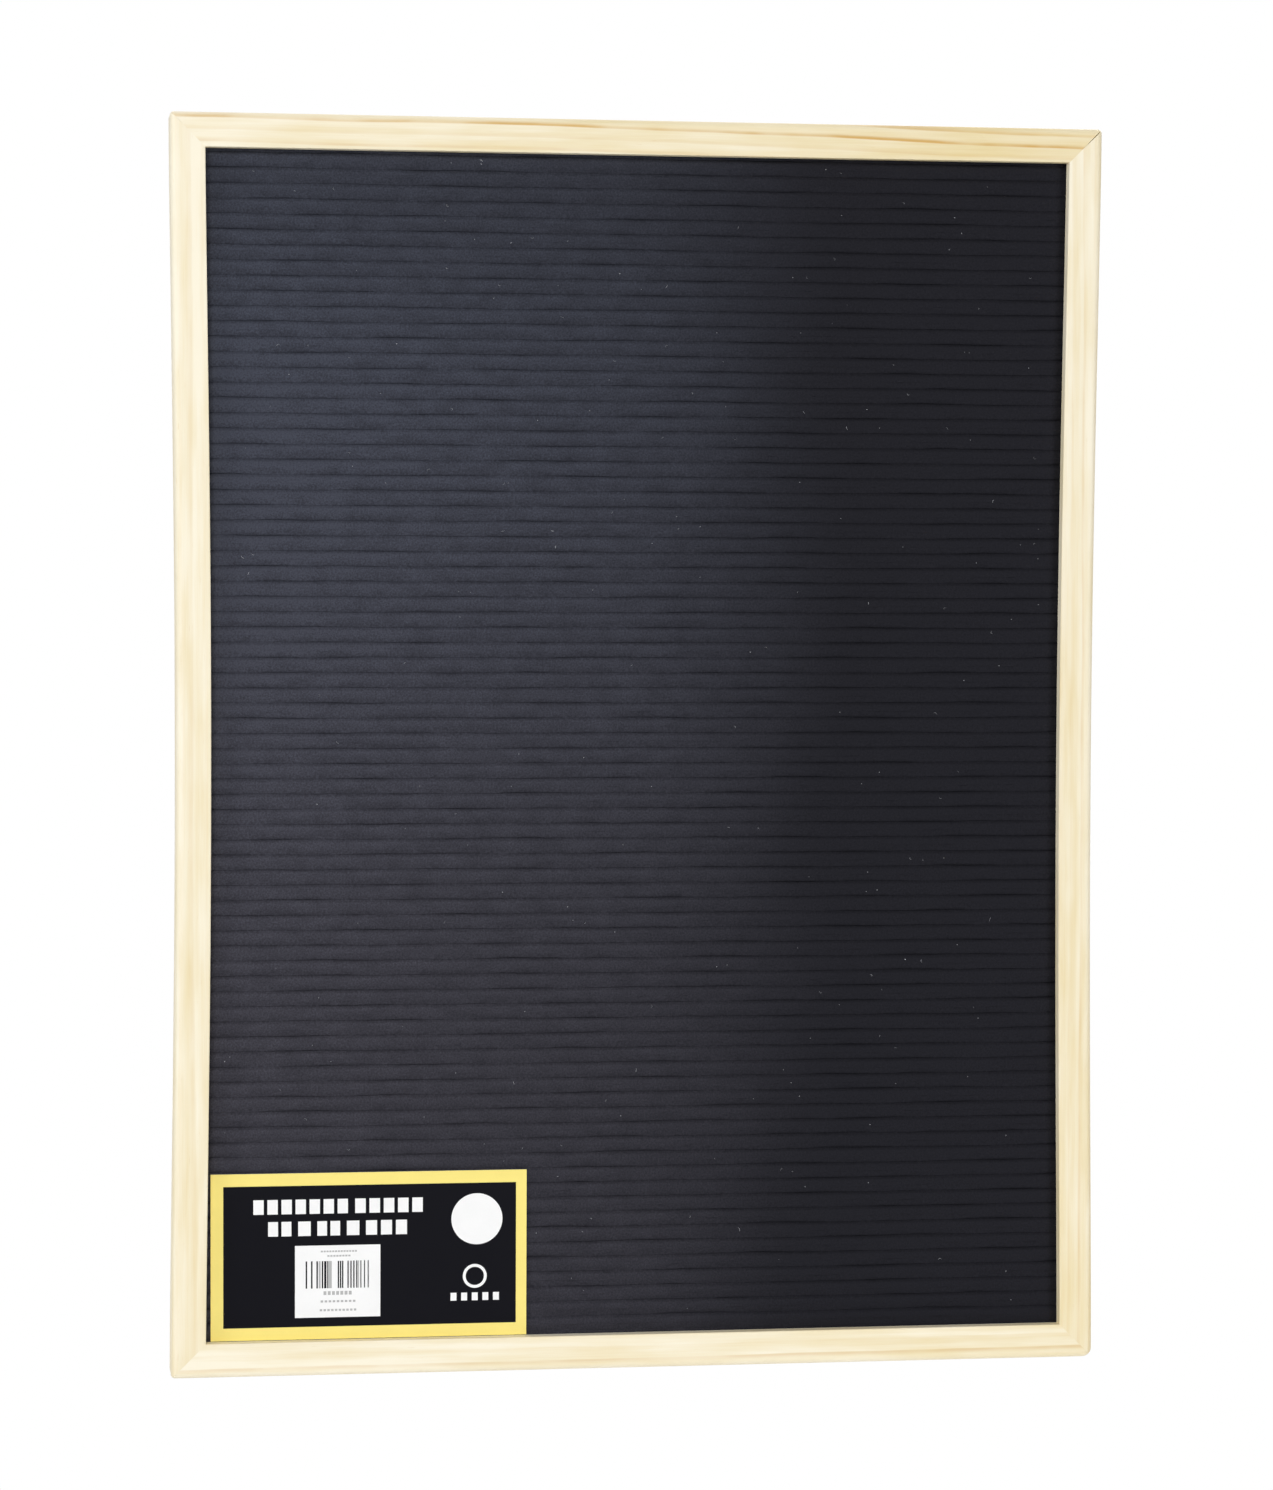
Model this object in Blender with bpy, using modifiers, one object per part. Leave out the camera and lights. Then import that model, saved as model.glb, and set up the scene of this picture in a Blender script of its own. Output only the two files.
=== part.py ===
"""Felt message board in a mitred pine frame, hung on a wall from two sawtooth hangers.

Metres, +Z up. X runs along the width and -Y points out of the felt. The wall is the plane Y = 0, which the
back faces of the frame touch. The origin is in that plane, midway between the hangers, at the height where
the wall nails bear in their middle notches.
"""
import math

import bmesh
import bpy
from mathutils import Matrix, Vector

# Whole board
BOARD_WIDTH = 0.450
BOARD_HEIGHT = 0.600
BOARD_DEPTH = 0.020
HANG_HEIGHT = 0.275  # from the board's centre up to the notches that the wall nails bear in
CLEARANCE = 0.0003  # gap kept between pieces that meet

# Pine rails
RAIL_FACE = 0.0165  # width of a rail seen from the front
LIP_DEPTH = 0.006  # thickness of the lip in front of the felt
REBATE_WIDTH = 0.006  # how far the lip covers the rebate behind it
OUTER_EDGE_ROUND = 0.003
INNER_EDGE_ROUND = 0.0008
CORNER_ROUND = 0.002
WORN_CORNER_ROUND = 0.0045  # the bottom right corner is sanded further
SIDE_DRAW_IN = 0.0027  # the side rails bend in by this much at half height
BEND_STATIONS = 12  # straight stretches along a bent rail
BLANK_SPARE = 0.01  # extra length of a rail before its mitres are cut
OUTLINE_SPARE = 0.00005  # keeps the corner trimmer off the rails' flat outer faces

# Ribbed panel: felt pressed over a grooved core
GROOVE_PITCH = 0.007235
GROOVE_COUNT = 79
FELT_THICKNESS = 0.0008
RIM_PRESS = 0.0003  # the lip presses the felt thinner by this much all round its rim
RIM_PLAY = 0.0003  # from the lip's inner face to where the pressed rim ends
GROOVE_DEPTH = 0.003
GROOVE_SHOULDER = 0.0007  # radius that the felt turns over into a groove
GROOVE_THROAT = 0.0006  # half width under the shoulder
GROOVE_FLOOR = 0.00045  # half width at the bottom
CORE_THICKNESS = 0.005
PANEL_SIDE_PLAY = 0.0004
PANEL_END_PLAY = 0.0006
BACKING_THICKNESS = 0.003

# V-nails, two across each mitre
V_NAIL_HEIGHT = 0.007
V_NAIL_HALF_SPAN = 0.0032
V_NAIL_FOLD = 0.0022  # from the fold to the ends of the legs
V_NAIL_STEEL = 0.0005
V_NAIL_PLACES = {"outer": 0.0038, "inner": 0.0070}  # fold's distance from both outer faces

# Flat steel points driven into the rebate
POINT_STEEL = 0.0005
POINT_WIDTH = 0.0065
POINT_DRIVEN = 0.006
POINT_SHOWING = 0.009
POINT_TIP = 0.002
POINTS_PER_SIDE = 4
POINTS_PER_END = 3
SIDE_POINT_PITCH = 0.150
END_POINT_PITCH = 0.180

# Sawtooth hangers
HANGER_OFFSET = 0.120  # from the middle of the board to each hanger
HANGER_LENGTH = 0.045
HANGER_HEIGHT = 0.009
HANGER_STEEL = 0.0008
HANGER_RISE = 0.002
HANGER_TAB = 0.0085  # flat length at each end
HANGER_RAMP = 0.0025
TOOTH_PITCH = 0.0026
TOOTH_DEPTH = 0.0015
TOOTH_COUNT = 7

# Rivets through the hanger tabs and the backing
RIVET_SHANK = 0.0013
RIVET_HEAD = 0.0024
RIVET_HEAD_HEIGHT = 0.0008
RIVET_FLANGE = 0.0023
RIVET_FLANGE_THICKNESS = 0.00055
RIVET_STEPS = 16
RIVET_INSET = 0.0042  # from the end of the hanger to the rivet

# Card in the bottom left corner of the felt, with its two stickers
CARD_WIDTH = 0.1516
CARD_HEIGHT = 0.080
CARD_THICKNESS = 0.0005
CARD_SIDE_GAP = 0.0025  # from the left lip at the corner to the card
STICKER_THICKNESS = 0.00015
STICKER_GAP = 0.0002
ROUND_STICKER_RADIUS = 0.01235
ROUND_STICKER_PLACE = (0.12755, 0.0566)  # from the card's bottom left corner
LABEL_WIDTH = 0.0409
LABEL_HEIGHT = 0.0347
LABEL_PLACE = (0.0606, 0.0278)

# Depths from the front of the frame to each layer
RIM_FRONT = LIP_DEPTH + CLEARANCE
FELT_FRONT = RIM_FRONT - RIM_PRESS
CORE_FRONT = FELT_FRONT + FELT_THICKNESS + CLEARANCE
CORE_BACK = CORE_FRONT + CORE_THICKNESS
BACKING_FRONT = CORE_BACK + CLEARANCE
BACKING_BACK = BACKING_FRONT + BACKING_THICKNESS
POINT_FRONT = BACKING_BACK + CLEARANCE
HANGER_FRONT = BACKING_BACK + CLEARANCE
CARD_BACK = FELT_FRONT - CLEARANCE
CARD_FRONT = CARD_BACK - CARD_THICKNESS

# Sizes that follow
HALF_WIDTH = BOARD_WIDTH / 2
HALF_HEIGHT = BOARD_HEIGHT / 2
REBATE_WALL = RAIL_FACE - REBATE_WIDTH
PANEL_WIDTH = BOARD_WIDTH - 2 * (REBATE_WALL + SIDE_DRAW_IN + PANEL_SIDE_PLAY)
PANEL_HEIGHT = BOARD_HEIGHT - 2 * (REBATE_WALL + PANEL_END_PLAY)
RIVET_OFFSET = HANGER_LENGTH / 2 - RIVET_INSET
HANGER_BOTTOM = HANG_HEIGHT - TOOTH_DEPTH
HANGER_MIDDLE = HANGER_BOTTOM + HANGER_HEIGHT / 2

RIGHT = Vector((1, 0, 0))
BACK = Vector((0, 1, 0))
UP = Vector((0, 0, 1))


def srgb(red, green, blue):
    """A colour written in screen values, as the linear values that a shader takes."""
    return [((c + 0.055) / 1.055) ** 2.4 if c > 0.04 else c / 12.92 for c in (red, green, blue)] + [1]


def material(name, colour, roughness, metallic=0.0):
    made = bpy.data.materials.new(name)
    made.use_nodes = True
    shader = made.node_tree.nodes["Principled BSDF"]
    shader.inputs["Base Color"].default_value = colour
    shader.inputs["Roughness"].default_value = roughness
    shader.inputs["Metallic"].default_value = metallic
    made.diffuse_color = colour
    return made


def place(across, depth, up):
    """A point given from the board's centre and front face, in the frame of the part."""
    return Vector((across, depth - BOARD_DEPTH, up - HANG_HEIGHT))


def axes_at(origin, x_axis, y_axis):
    """The matrix of a piece whose local X and Y point along the given directions."""
    z_axis = x_axis.cross(y_axis)
    turn = Matrix((x_axis, y_axis, z_axis)).transposed().to_4x4()
    return Matrix.Translation(origin) @ turn


def draw_in(up):
    """How far a side rail stands in from straight at a height above the board's centre."""
    share = min(abs(up) / HALF_HEIGHT, 1.0)
    return SIDE_DRAW_IN * (1 - share**2) ** 1.5


def arc(centre, radius, start_deg, end_deg, steps):
    """Points along an arc, both ends included."""
    turns = [math.radians(start_deg + (end_deg - start_deg) * i / steps) for i in range(steps + 1)]
    return [(centre[0] + radius * math.cos(t), centre[1] + radius * math.sin(t)) for t in turns]


def circle(centre, radius, steps):
    return arc(centre, radius, 0, 360, steps)[:-1]


def rectangle(low, high):
    return [low, (high[0], low[1]), high, (low[0], high[1])]


def prism(name, outlines, thickness, matrix):
    """A curve object: flat outlines in its local XY plane, filled and extruded either way along local Z."""
    curve = bpy.data.curves.new(name, "CURVE")
    curve.dimensions = "2D"
    curve.fill_mode = "BOTH"
    curve.extrude = thickness / 2
    for outline in outlines:
        spline = curve.splines.new("POLY")
        spline.points.add(len(outline) - 1)
        for point, (x, y) in zip(spline.points, outline):
            point.co = (x, y, 0, 1)
        spline.use_cyclic_u = True
    made = bpy.data.objects.new(name, curve)
    made.matrix_world = matrix
    return made


def as_mesh(source):
    """The same piece as a mesh with its caps welded, ready to cut or to be cut."""
    bpy.context.scene.collection.objects.link(source)
    bpy.context.view_layer.update()
    seen = source.evaluated_get(bpy.context.evaluated_depsgraph_get())
    mesh = bpy.data.meshes.new_from_object(seen)
    name = source.name
    matrix = source.matrix_world.copy()
    bpy.data.objects.remove(source)
    sheet = bmesh.new()
    sheet.from_mesh(mesh)
    bmesh.ops.remove_doubles(sheet, verts=sheet.verts, dist=1e-6)
    sheet.to_mesh(mesh)
    sheet.free()
    made = bpy.data.objects.new(name, mesh)
    made.matrix_world = matrix
    return made


def box(name, low, high):
    """A block between two corners, with its origin in its middle."""
    mesh = bpy.data.meshes.new(name)
    size = high - low
    block = bmesh.new()
    bmesh.ops.create_cube(block, size=1, matrix=Matrix.Diagonal(size.to_4d()))
    block.to_mesh(mesh)
    block.free()
    made = bpy.data.objects.new(name, mesh)
    made.location = (low + high) / 2
    return made


def cut(piece, cutter, operation="DIFFERENCE"):
    change = piece.modifiers.new(cutter.name, "BOOLEAN")
    change.operation = operation
    change.solver = "EXACT"
    change.object = cutter


class Board:
    """Collects the pieces and the cutters of one board."""

    def __init__(self):
        self.parts = self.collection("message_board")
        self.cutters = self.collection("message_board_cutters")
        self.root = bpy.data.objects.new("message_board_origin", None)
        self.parts.objects.link(self.root)

    @staticmethod
    def collection(name):
        made = bpy.data.collections.new(name)
        bpy.context.scene.collection.children.link(made)
        return made

    def add(self, piece, finish):
        self.parts.objects.link(piece)
        piece.parent = self.root
        piece.data.materials.clear()
        piece.data.materials.append(finish)
        return piece

    def add_cutter(self, piece):
        self.cutters.objects.link(piece)
        piece.hide_render = True
        piece.display_type = "WIRE"
        return piece


def rail_outline():
    """A rail's section: local X runs in from the outer face, local Y back from the front face."""
    outer = arc((OUTER_EDGE_ROUND, OUTER_EDGE_ROUND), OUTER_EDGE_ROUND, 180, 270, 5)
    centre = (RAIL_FACE - INNER_EDGE_ROUND, INNER_EDGE_ROUND)
    inner = arc(centre, INNER_EDGE_ROUND, 270, 360, 2)
    rebate = [(RAIL_FACE, LIP_DEPTH), (REBATE_WALL, LIP_DEPTH), (REBATE_WALL, BOARD_DEPTH), (0, BOARD_DEPTH)]
    return outer + inner + rebate


def slice_at(sheet, point, normal, clear):
    geometry = sheet.verts[:] + sheet.edges[:] + sheet.faces[:]
    return bmesh.ops.bisect_plane(
        sheet, geom=geometry, dist=1e-7, plane_co=point, plane_no=normal, clear_outer=clear
    )


def bend(sheet, length):
    """Adds loops along the rail and moves them in by the side rails' bend."""
    for station in range(BEND_STATIONS + 1):
        along = length * (station / BEND_STATIONS - 0.5)
        slice_at(sheet, (0, 0, along), UP, clear=False)
    for vertex in sheet.verts:
        vertex.co.x += draw_in(vertex.co.z)


def mitre(sheet, length):
    """Cuts both ends at 45 degrees, half the clearance back from the joint, and closes them."""
    for end in (1, -1):
        joint = length / 2 - CLEARANCE / 2 * math.sqrt(2)
        made = slice_at(sheet, (0, 0, end * joint), Vector((1, 0, end)).normalized(), clear=True)
        rim = [item for item in made["geom_cut"] if isinstance(item, bmesh.types.BMEdge)]
        bmesh.ops.holes_fill(sheet, edges=rim, sides=0)


def rail(name, inward, length, bent):
    """One moulding: inward is the direction from its outer face to the middle of the board."""
    half = HALF_WIDTH if bent else HALF_HEIGHT
    middle = place(0, 0, 0) - inward * half
    blank = prism(name, [rail_outline()], length + 2 * BLANK_SPARE, axes_at(middle, inward, BACK))
    made = as_mesh(blank)
    sheet = bmesh.new()
    sheet.from_mesh(made.data)
    if bent:
        bend(sheet, length)
    mitre(sheet, length)
    bmesh.ops.recalc_face_normals(sheet, faces=sheet.faces)
    sheet.to_mesh(made.data)
    sheet.free()
    return made


def back_plane(depth_front, depth_back):
    """The matrix of a prism whose outlines are given across and up from the board's centre."""
    middle = place(0, (depth_front + depth_back) / 2, 0)
    return axes_at(middle, RIGHT, UP)


def layer(name, outlines, depth_front, depth_back):
    return prism(name, outlines, depth_back - depth_front, back_plane(depth_front, depth_back))


def board_outline():
    """The frame's outline with its four sanded corners."""
    half_x = HALF_WIDTH + OUTLINE_SPARE
    half_z = HALF_HEIGHT + OUTLINE_SPARE
    radii = [CORNER_ROUND, CORNER_ROUND, CORNER_ROUND, WORN_CORNER_ROUND]
    outline = []
    for quarter, (side, end, radius) in enumerate(zip((1, -1, -1, 1), (1, 1, -1, -1), radii)):
        centre = (side * (half_x - radius), end * (half_z - radius))
        outline += arc(centre, radius, 90 * quarter, 90 * quarter + 90, 6)
    return outline


def corner_trimmer():
    return as_mesh(layer("corner_trimmer", [board_outline()], -BLANK_SPARE, BOARD_DEPTH + BLANK_SPARE))


def v_outline(side, end, inset, grow):
    """A V-nail's section across the mitre of one corner, made thicker all round by grow."""
    slope = V_NAIL_FOLD / V_NAIL_HALF_SPAN
    stretch = math.hypot(1, slope)
    span = V_NAIL_HALF_SPAN + grow
    near = -grow * stretch
    far = (V_NAIL_STEEL + grow) * stretch
    reach = slope * span
    leg = [(reach + near, span), (reach + far, span)]
    section = [(near, 0)] + leg + [(far, 0)] + [(a, -b) for a, b in reversed(leg)]
    along = Vector((-side, -end)).normalized()
    across = Vector((along.y, -along.x))
    fold = Vector((side * (HALF_WIDTH - inset), end * (HALF_HEIGHT - inset)))
    return [tuple(fold + along * a + across * b) for a, b in section]


def corners():
    for end, end_name in ((1, "top"), (-1, "bottom")):
        for side, side_name in ((-1, "left"), (1, "right")):
            yield side, end, f"{end_name}_{side_name}"


def add_v_nails(board, finish):
    slots = []
    top = BOARD_DEPTH - CLEARANCE
    for side, end, corner in corners():
        for which, inset in V_NAIL_PLACES.items():
            section = v_outline(side, end, inset, 0)
            nail = layer(f"v_nail_{corner}_{which}", [section], top - V_NAIL_HEIGHT, top)
            board.add(nail, finish)
            slots.append(v_outline(side, end, inset, CLEARANCE))
    deep = top - V_NAIL_HEIGHT - CLEARANCE
    return board.add_cutter(as_mesh(layer("v_nail_slots", slots, deep, BOARD_DEPTH + CLEARANCE)))


def point_places():
    """Each retaining point: its name, where it leaves the rebate wall, and which way it points."""
    for side, side_name in ((-1, "left"), (1, "right")):
        for i in range(POINTS_PER_SIDE):
            up = SIDE_POINT_PITCH * ((POINTS_PER_SIDE - 1) / 2 - i)
            wall = HALF_WIDTH - REBATE_WALL - draw_in(up)
            yield f"point_{side_name}_{i + 1}", Vector((side * wall, up)), Vector((-side, 0))
    for end, end_name in ((1, "top"), (-1, "bottom")):
        for i in range(POINTS_PER_END):
            across = END_POINT_PITCH * (i - (POINTS_PER_END - 1) / 2)
            wall = HALF_HEIGHT - REBATE_WALL
            yield f"point_{end_name}_{i + 1}", Vector((across, end * wall)), Vector((0, -end))


def point_outline(wall, inward):
    """A flat point: its sharp end in the wood and its square end over the backing."""
    across = Vector((inward.y, -inward.x))
    half = POINT_WIDTH / 2
    neck = POINT_TIP - POINT_DRIVEN
    shape = [(-POINT_DRIVEN, 0), (neck, -half), (POINT_SHOWING, -half), (POINT_SHOWING, half), (neck, half)]
    return [tuple(wall + inward * a + across * b) for a, b in shape]


def slot_outline(wall, inward):
    across = Vector((inward.y, -inward.x))
    half = POINT_WIDTH / 2 + CLEARANCE
    shape = rectangle((-POINT_DRIVEN - CLEARANCE, -half), (REBATE_WIDTH / 2, half))
    return [tuple(wall + inward * a + across * b) for a, b in shape]


def add_points(board, finish):
    slots = []
    for name, wall, inward in point_places():
        board.add(layer(name, [point_outline(wall, inward)], POINT_FRONT, POINT_FRONT + POINT_STEEL), finish)
        slots.append(slot_outline(wall, inward))
    front = POINT_FRONT - CLEARANCE
    back = POINT_FRONT + POINT_STEEL + CLEARANCE
    return board.add_cutter(as_mesh(layer("point_slots", slots, front, back)))


def add_rails(board, finish, slot_cutters):
    trimmer = board.add_cutter(corner_trimmer())
    rails = [
        rail("rail_top", -UP, BOARD_WIDTH, False),
        rail("rail_bottom", UP, BOARD_WIDTH, False),
        rail("rail_left", RIGHT, BOARD_HEIGHT, True),
        rail("rail_right", -RIGHT, BOARD_HEIGHT, True),
    ]
    for made in rails:
        board.add(made, finish)
        cut(made, trimmer, "INTERSECT")
        for slots in slot_cutters:
            cut(made, slots)


def grooved_line(groove):
    """A ribbed surface seen end on: (up, depth) points from the bottom edge of the panel to the top.

    groove holds one groove's points, as (distance from its middle, depth).
    """
    line = [(-PANEL_HEIGHT / 2, groove[0][1])]
    for i in range(GROOVE_COUNT):
        middle = GROOVE_PITCH * (i - (GROOVE_COUNT - 1) / 2)
        line += [(middle + off, depth) for off, depth in groove]
    line.append((PANEL_HEIGHT / 2, groove[0][1]))
    return line


def mirrored(half):
    """A whole groove from its lower half, given from the rim to the floor."""
    return half + [(-off, depth) for off, depth in reversed(half)]


def felt_front_groove():
    rim = GROOVE_THROAT + GROOVE_SHOULDER
    shoulder = arc((-rim, FELT_FRONT + GROOVE_SHOULDER), GROOVE_SHOULDER, 270, 360, 2)
    return mirrored(shoulder + [(-GROOVE_FLOOR, FELT_FRONT + GROOVE_DEPTH)])


def square_groove(spread, top):
    """The groove behind the felt's front, its walls further apart and its floor deeper by spread."""
    floor = FELT_FRONT + GROOVE_DEPTH + spread
    return mirrored([(-GROOVE_THROAT - spread, top), (-GROOVE_FLOOR - spread, floor)])


def ribbed(name, outline):
    """A ribbed panel: its end outline run the full width of the panel."""
    return prism(name, [outline], PANEL_WIDTH, axes_at(place(0, 0, 0), UP, BACK))


def opening_outline():
    """The edge of the felt that shows, just inside the lips of the four rails."""
    top = HALF_HEIGHT - RAIL_FACE - RIM_PLAY
    side = HALF_WIDTH - RAIL_FACE - RIM_PLAY
    heights = [top * (2 * i / BEND_STATIONS - 1) for i in range(BEND_STATIONS + 1)]
    right = [(side - draw_in(up), up) for up in heights]
    return right + [(-across, up) for across, up in reversed(right)]


def add_felt(board, finish):
    """Felt that follows every rib and groove of the core, even in thickness but for its pressed rim."""
    front = grooved_line(felt_front_groove())
    back = grooved_line(square_groove(FELT_THICKNESS, FELT_FRONT + FELT_THICKNESS))
    felt = board.add(as_mesh(ribbed("felt", front + back[::-1])), finish)
    around = rectangle((-HALF_WIDTH, -HALF_HEIGHT), (HALF_WIDTH, HALF_HEIGHT))
    rim = layer("felt_rim", [around, opening_outline()], -BLANK_SPARE, RIM_FRONT)
    cut(felt, board.add_cutter(as_mesh(rim)))


def core_panel():
    front = grooved_line(square_groove(FELT_THICKNESS + CLEARANCE, CORE_FRONT))
    return ribbed("core_panel", front + [(PANEL_HEIGHT / 2, CORE_BACK), (-PANEL_HEIGHT / 2, CORE_BACK)])


def rivet_places():
    for side in (-1, 1):
        for end in (-1, 1):
            yield side * HANGER_OFFSET + end * RIVET_OFFSET, HANGER_MIDDLE


def add_backing(board, finish, holes):
    low = place(-PANEL_WIDTH / 2, BACKING_FRONT, -PANEL_HEIGHT / 2)
    high = place(PANEL_WIDTH / 2, BACKING_BACK, PANEL_HEIGHT / 2)
    backing = board.add(box("backing_board", low, high), finish)
    radius = RIVET_FLANGE + CLEARANCE
    sinks = [circle(spot, radius, RIVET_STEPS) for spot in rivet_places()]
    depth = BACKING_FRONT + RIVET_FLANGE_THICKNESS + CLEARANCE
    sink = board.add_cutter(as_mesh(layer("rivet_sinks", sinks, BACKING_FRONT - CLEARANCE, depth)))
    cut(backing, sink)
    cut(backing, holes)


def hanger_strip(name, middle):
    """The bent strip of a hanger: a ribbon that rises between its two flat tabs, thickened backwards."""
    half = HANGER_LENGTH / 2
    flat = half - HANGER_TAB
    crown = flat - HANGER_RAMP
    bends = [(-half, 0), (-flat, 0), (-crown, HANGER_RISE), (crown, HANGER_RISE), (flat, 0), (half, 0)]
    seat = axes_at(place(middle, HANGER_FRONT, HANGER_MIDDLE), RIGHT, BACK)
    ribbon = prism(name, [bends], HANGER_HEIGHT, seat)
    ribbon.data.splines[0].use_cyclic_u = False
    made = as_mesh(ribbon)
    shell = made.modifiers.new("steel", "SOLIDIFY")
    shell.thickness = HANGER_STEEL
    shell.use_even_offset = True
    shell.offset = 1 if made.data.polygons[0].normal.y > 0 else -1
    return made


def tooth_outline(middle):
    """What is nibbled from a hanger's lower edge: a row of notches over a strip below the edge."""
    low = HANGER_BOTTOM - TOOTH_DEPTH
    half = TOOTH_PITCH * TOOTH_COUNT / 2
    points = [(middle - half, low)]
    for i in range(TOOTH_COUNT):
        start = middle - half + TOOTH_PITCH * i
        points += [(start, HANGER_BOTTOM - CLEARANCE), (start + TOOTH_PITCH / 2, HANG_HEIGHT)]
    points += [(middle + half, HANGER_BOTTOM - CLEARANCE), (middle + half, low)]
    return points


def add_hangers(board, finish, holes):
    teeth = [tooth_outline(side * HANGER_OFFSET) for side in (-1, 1)]
    nibbler = board.add_cutter(as_mesh(layer("hanger_teeth", teeth, HANGER_FRONT - CLEARANCE, BOARD_DEPTH)))
    for side, side_name in ((-1, "left"), (1, "right")):
        hanger = board.add(hanger_strip(f"hanger_{side_name}", side * HANGER_OFFSET), finish)
        cut(hanger, nibbler)
        cut(hanger, holes)


def rivet_profile():
    """Half of a rivet's section as (radius, height), from the dome down its outer side to the flange."""
    flange_top = RIVET_FLANGE_THICKNESS
    head_base = HANGER_FRONT + HANGER_STEEL + CLEARANCE - BACKING_FRONT - CLEARANCE / 2
    dome = [
        (RIVET_HEAD * math.sin(math.radians(a)), head_base + RIVET_HEAD_HEIGHT * math.cos(math.radians(a)))
        for a in range(0, 91, 30)
    ]
    shank = [(RIVET_SHANK, head_base), (RIVET_SHANK, flange_top)]
    return dome + shank + [(RIVET_FLANGE, flange_top), (RIVET_FLANGE, 0), (0, 0)]


def rivet(name, spot):
    mesh = bpy.data.meshes.new(name)
    points = [(radius, 0, height) for radius, height in rivet_profile()]
    mesh.from_pydata(points, [(i, i + 1) for i in range(len(points) - 1)], [])
    made = bpy.data.objects.new(name, mesh)
    made.matrix_world = axes_at(place(spot[0], BACKING_FRONT + CLEARANCE / 2, spot[1]), RIGHT, -UP)
    turn = made.modifiers.new("turned", "SCREW")
    turn.axis = "Z"
    turn.steps = RIVET_STEPS
    turn.render_steps = RIVET_STEPS
    turn.use_merge_vertices = True
    turn.merge_threshold = 0.00001
    turn.use_smooth_shade = False
    return made


def add_rivets(board, finish):
    for i, spot in enumerate(rivet_places()):
        board.add(rivet(f"rivet_{i + 1}", spot), finish)


def rivet_holes(board):
    circles = [circle(spot, RIVET_SHANK + CLEARANCE, RIVET_STEPS) for spot in rivet_places()]
    return board.add_cutter(as_mesh(layer("rivet_holes", circles, BACKING_FRONT - CLEARANCE, BOARD_DEPTH)))


def add_card(board, card_finish, sticker_finish):
    left = -HALF_WIDTH + RAIL_FACE + CARD_SIDE_GAP
    low = -HALF_HEIGHT + RAIL_FACE + CLEARANCE
    corner = place(left, CARD_FRONT, low)
    far = place(left + CARD_WIDTH, CARD_BACK, low + CARD_HEIGHT)
    board.add(box("card", corner, far), card_finish)
    back = CARD_FRONT - STICKER_GAP
    front = back - STICKER_THICKNESS
    spot = (left + ROUND_STICKER_PLACE[0], low + ROUND_STICKER_PLACE[1])
    disc = layer("round_sticker", [circle(spot, ROUND_STICKER_RADIUS, 48)], front, back)
    board.add(disc, sticker_finish)
    middle = Vector((left + LABEL_PLACE[0], 0, low + LABEL_PLACE[1]))
    half = Vector((LABEL_WIDTH / 2, 0, LABEL_HEIGHT / 2))
    label_low = place((middle - half).x, front, (middle - half).z)
    label_high = place((middle + half).x, back, (middle + half).z)
    board.add(box("label_sticker", label_low, label_high), sticker_finish)


def main():
    for old in list(bpy.data.objects):
        bpy.data.objects.remove(old)
    pine = material("pine", srgb(0.96, 0.90, 0.76), 0.55)
    felt = material("black_felt", srgb(0.19, 0.19, 0.22), 0.95)
    core = material("core_plastic", srgb(0.16, 0.16, 0.17), 0.6)
    hardboard = material("hardboard", srgb(0.47, 0.33, 0.22), 0.7)
    steel = material("zinc_steel", srgb(0.66, 0.67, 0.69), 0.35, 1.0)
    yellow = material("yellow_card", srgb(0.98, 0.85, 0.35), 0.4)
    white = material("white_paper", srgb(0.97, 0.97, 0.97), 0.5)

    board = Board()
    slot_cutters = [add_v_nails(board, steel), add_points(board, steel)]
    add_rails(board, pine, slot_cutters)
    add_felt(board, felt)
    board.add(core_panel(), core)
    holes = rivet_holes(board)
    add_backing(board, hardboard, holes)
    add_hangers(board, steel, holes)
    add_rivets(board, steel)
    add_card(board, yellow, white)


main()
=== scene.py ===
import math

import bmesh
import bpy
import numpy as np
from mathutils import Matrix, Vector


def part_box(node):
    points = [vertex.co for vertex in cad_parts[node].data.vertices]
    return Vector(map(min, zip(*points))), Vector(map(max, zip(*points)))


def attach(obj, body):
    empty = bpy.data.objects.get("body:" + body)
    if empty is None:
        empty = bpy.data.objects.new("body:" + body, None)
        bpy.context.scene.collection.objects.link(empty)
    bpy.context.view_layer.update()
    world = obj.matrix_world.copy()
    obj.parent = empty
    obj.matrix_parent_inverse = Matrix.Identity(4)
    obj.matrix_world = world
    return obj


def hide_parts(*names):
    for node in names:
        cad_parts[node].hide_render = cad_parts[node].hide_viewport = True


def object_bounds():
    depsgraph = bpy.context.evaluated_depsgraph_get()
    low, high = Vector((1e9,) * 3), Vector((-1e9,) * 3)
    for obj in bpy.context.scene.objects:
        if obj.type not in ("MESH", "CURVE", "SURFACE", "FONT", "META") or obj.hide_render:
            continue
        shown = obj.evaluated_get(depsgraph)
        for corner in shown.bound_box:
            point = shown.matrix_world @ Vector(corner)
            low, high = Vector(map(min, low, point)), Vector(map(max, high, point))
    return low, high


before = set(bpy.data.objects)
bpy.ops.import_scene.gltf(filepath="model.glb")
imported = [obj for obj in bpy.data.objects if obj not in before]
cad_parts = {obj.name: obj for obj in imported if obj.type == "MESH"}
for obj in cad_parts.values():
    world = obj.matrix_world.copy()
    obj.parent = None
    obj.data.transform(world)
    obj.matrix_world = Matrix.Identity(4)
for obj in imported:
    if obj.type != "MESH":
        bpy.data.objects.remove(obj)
CAD_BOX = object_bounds()

bl_info = {
    "name": "Felt message board",
    "version": (1, 0, 0),
    "blender": (4, 5, 0),
    "location": "3D View > Sidebar > Message board",
    "description": "Dresses a grooved felt message board in a mitred pine frame",
    "category": "Object",
}

BODY = "root"

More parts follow.
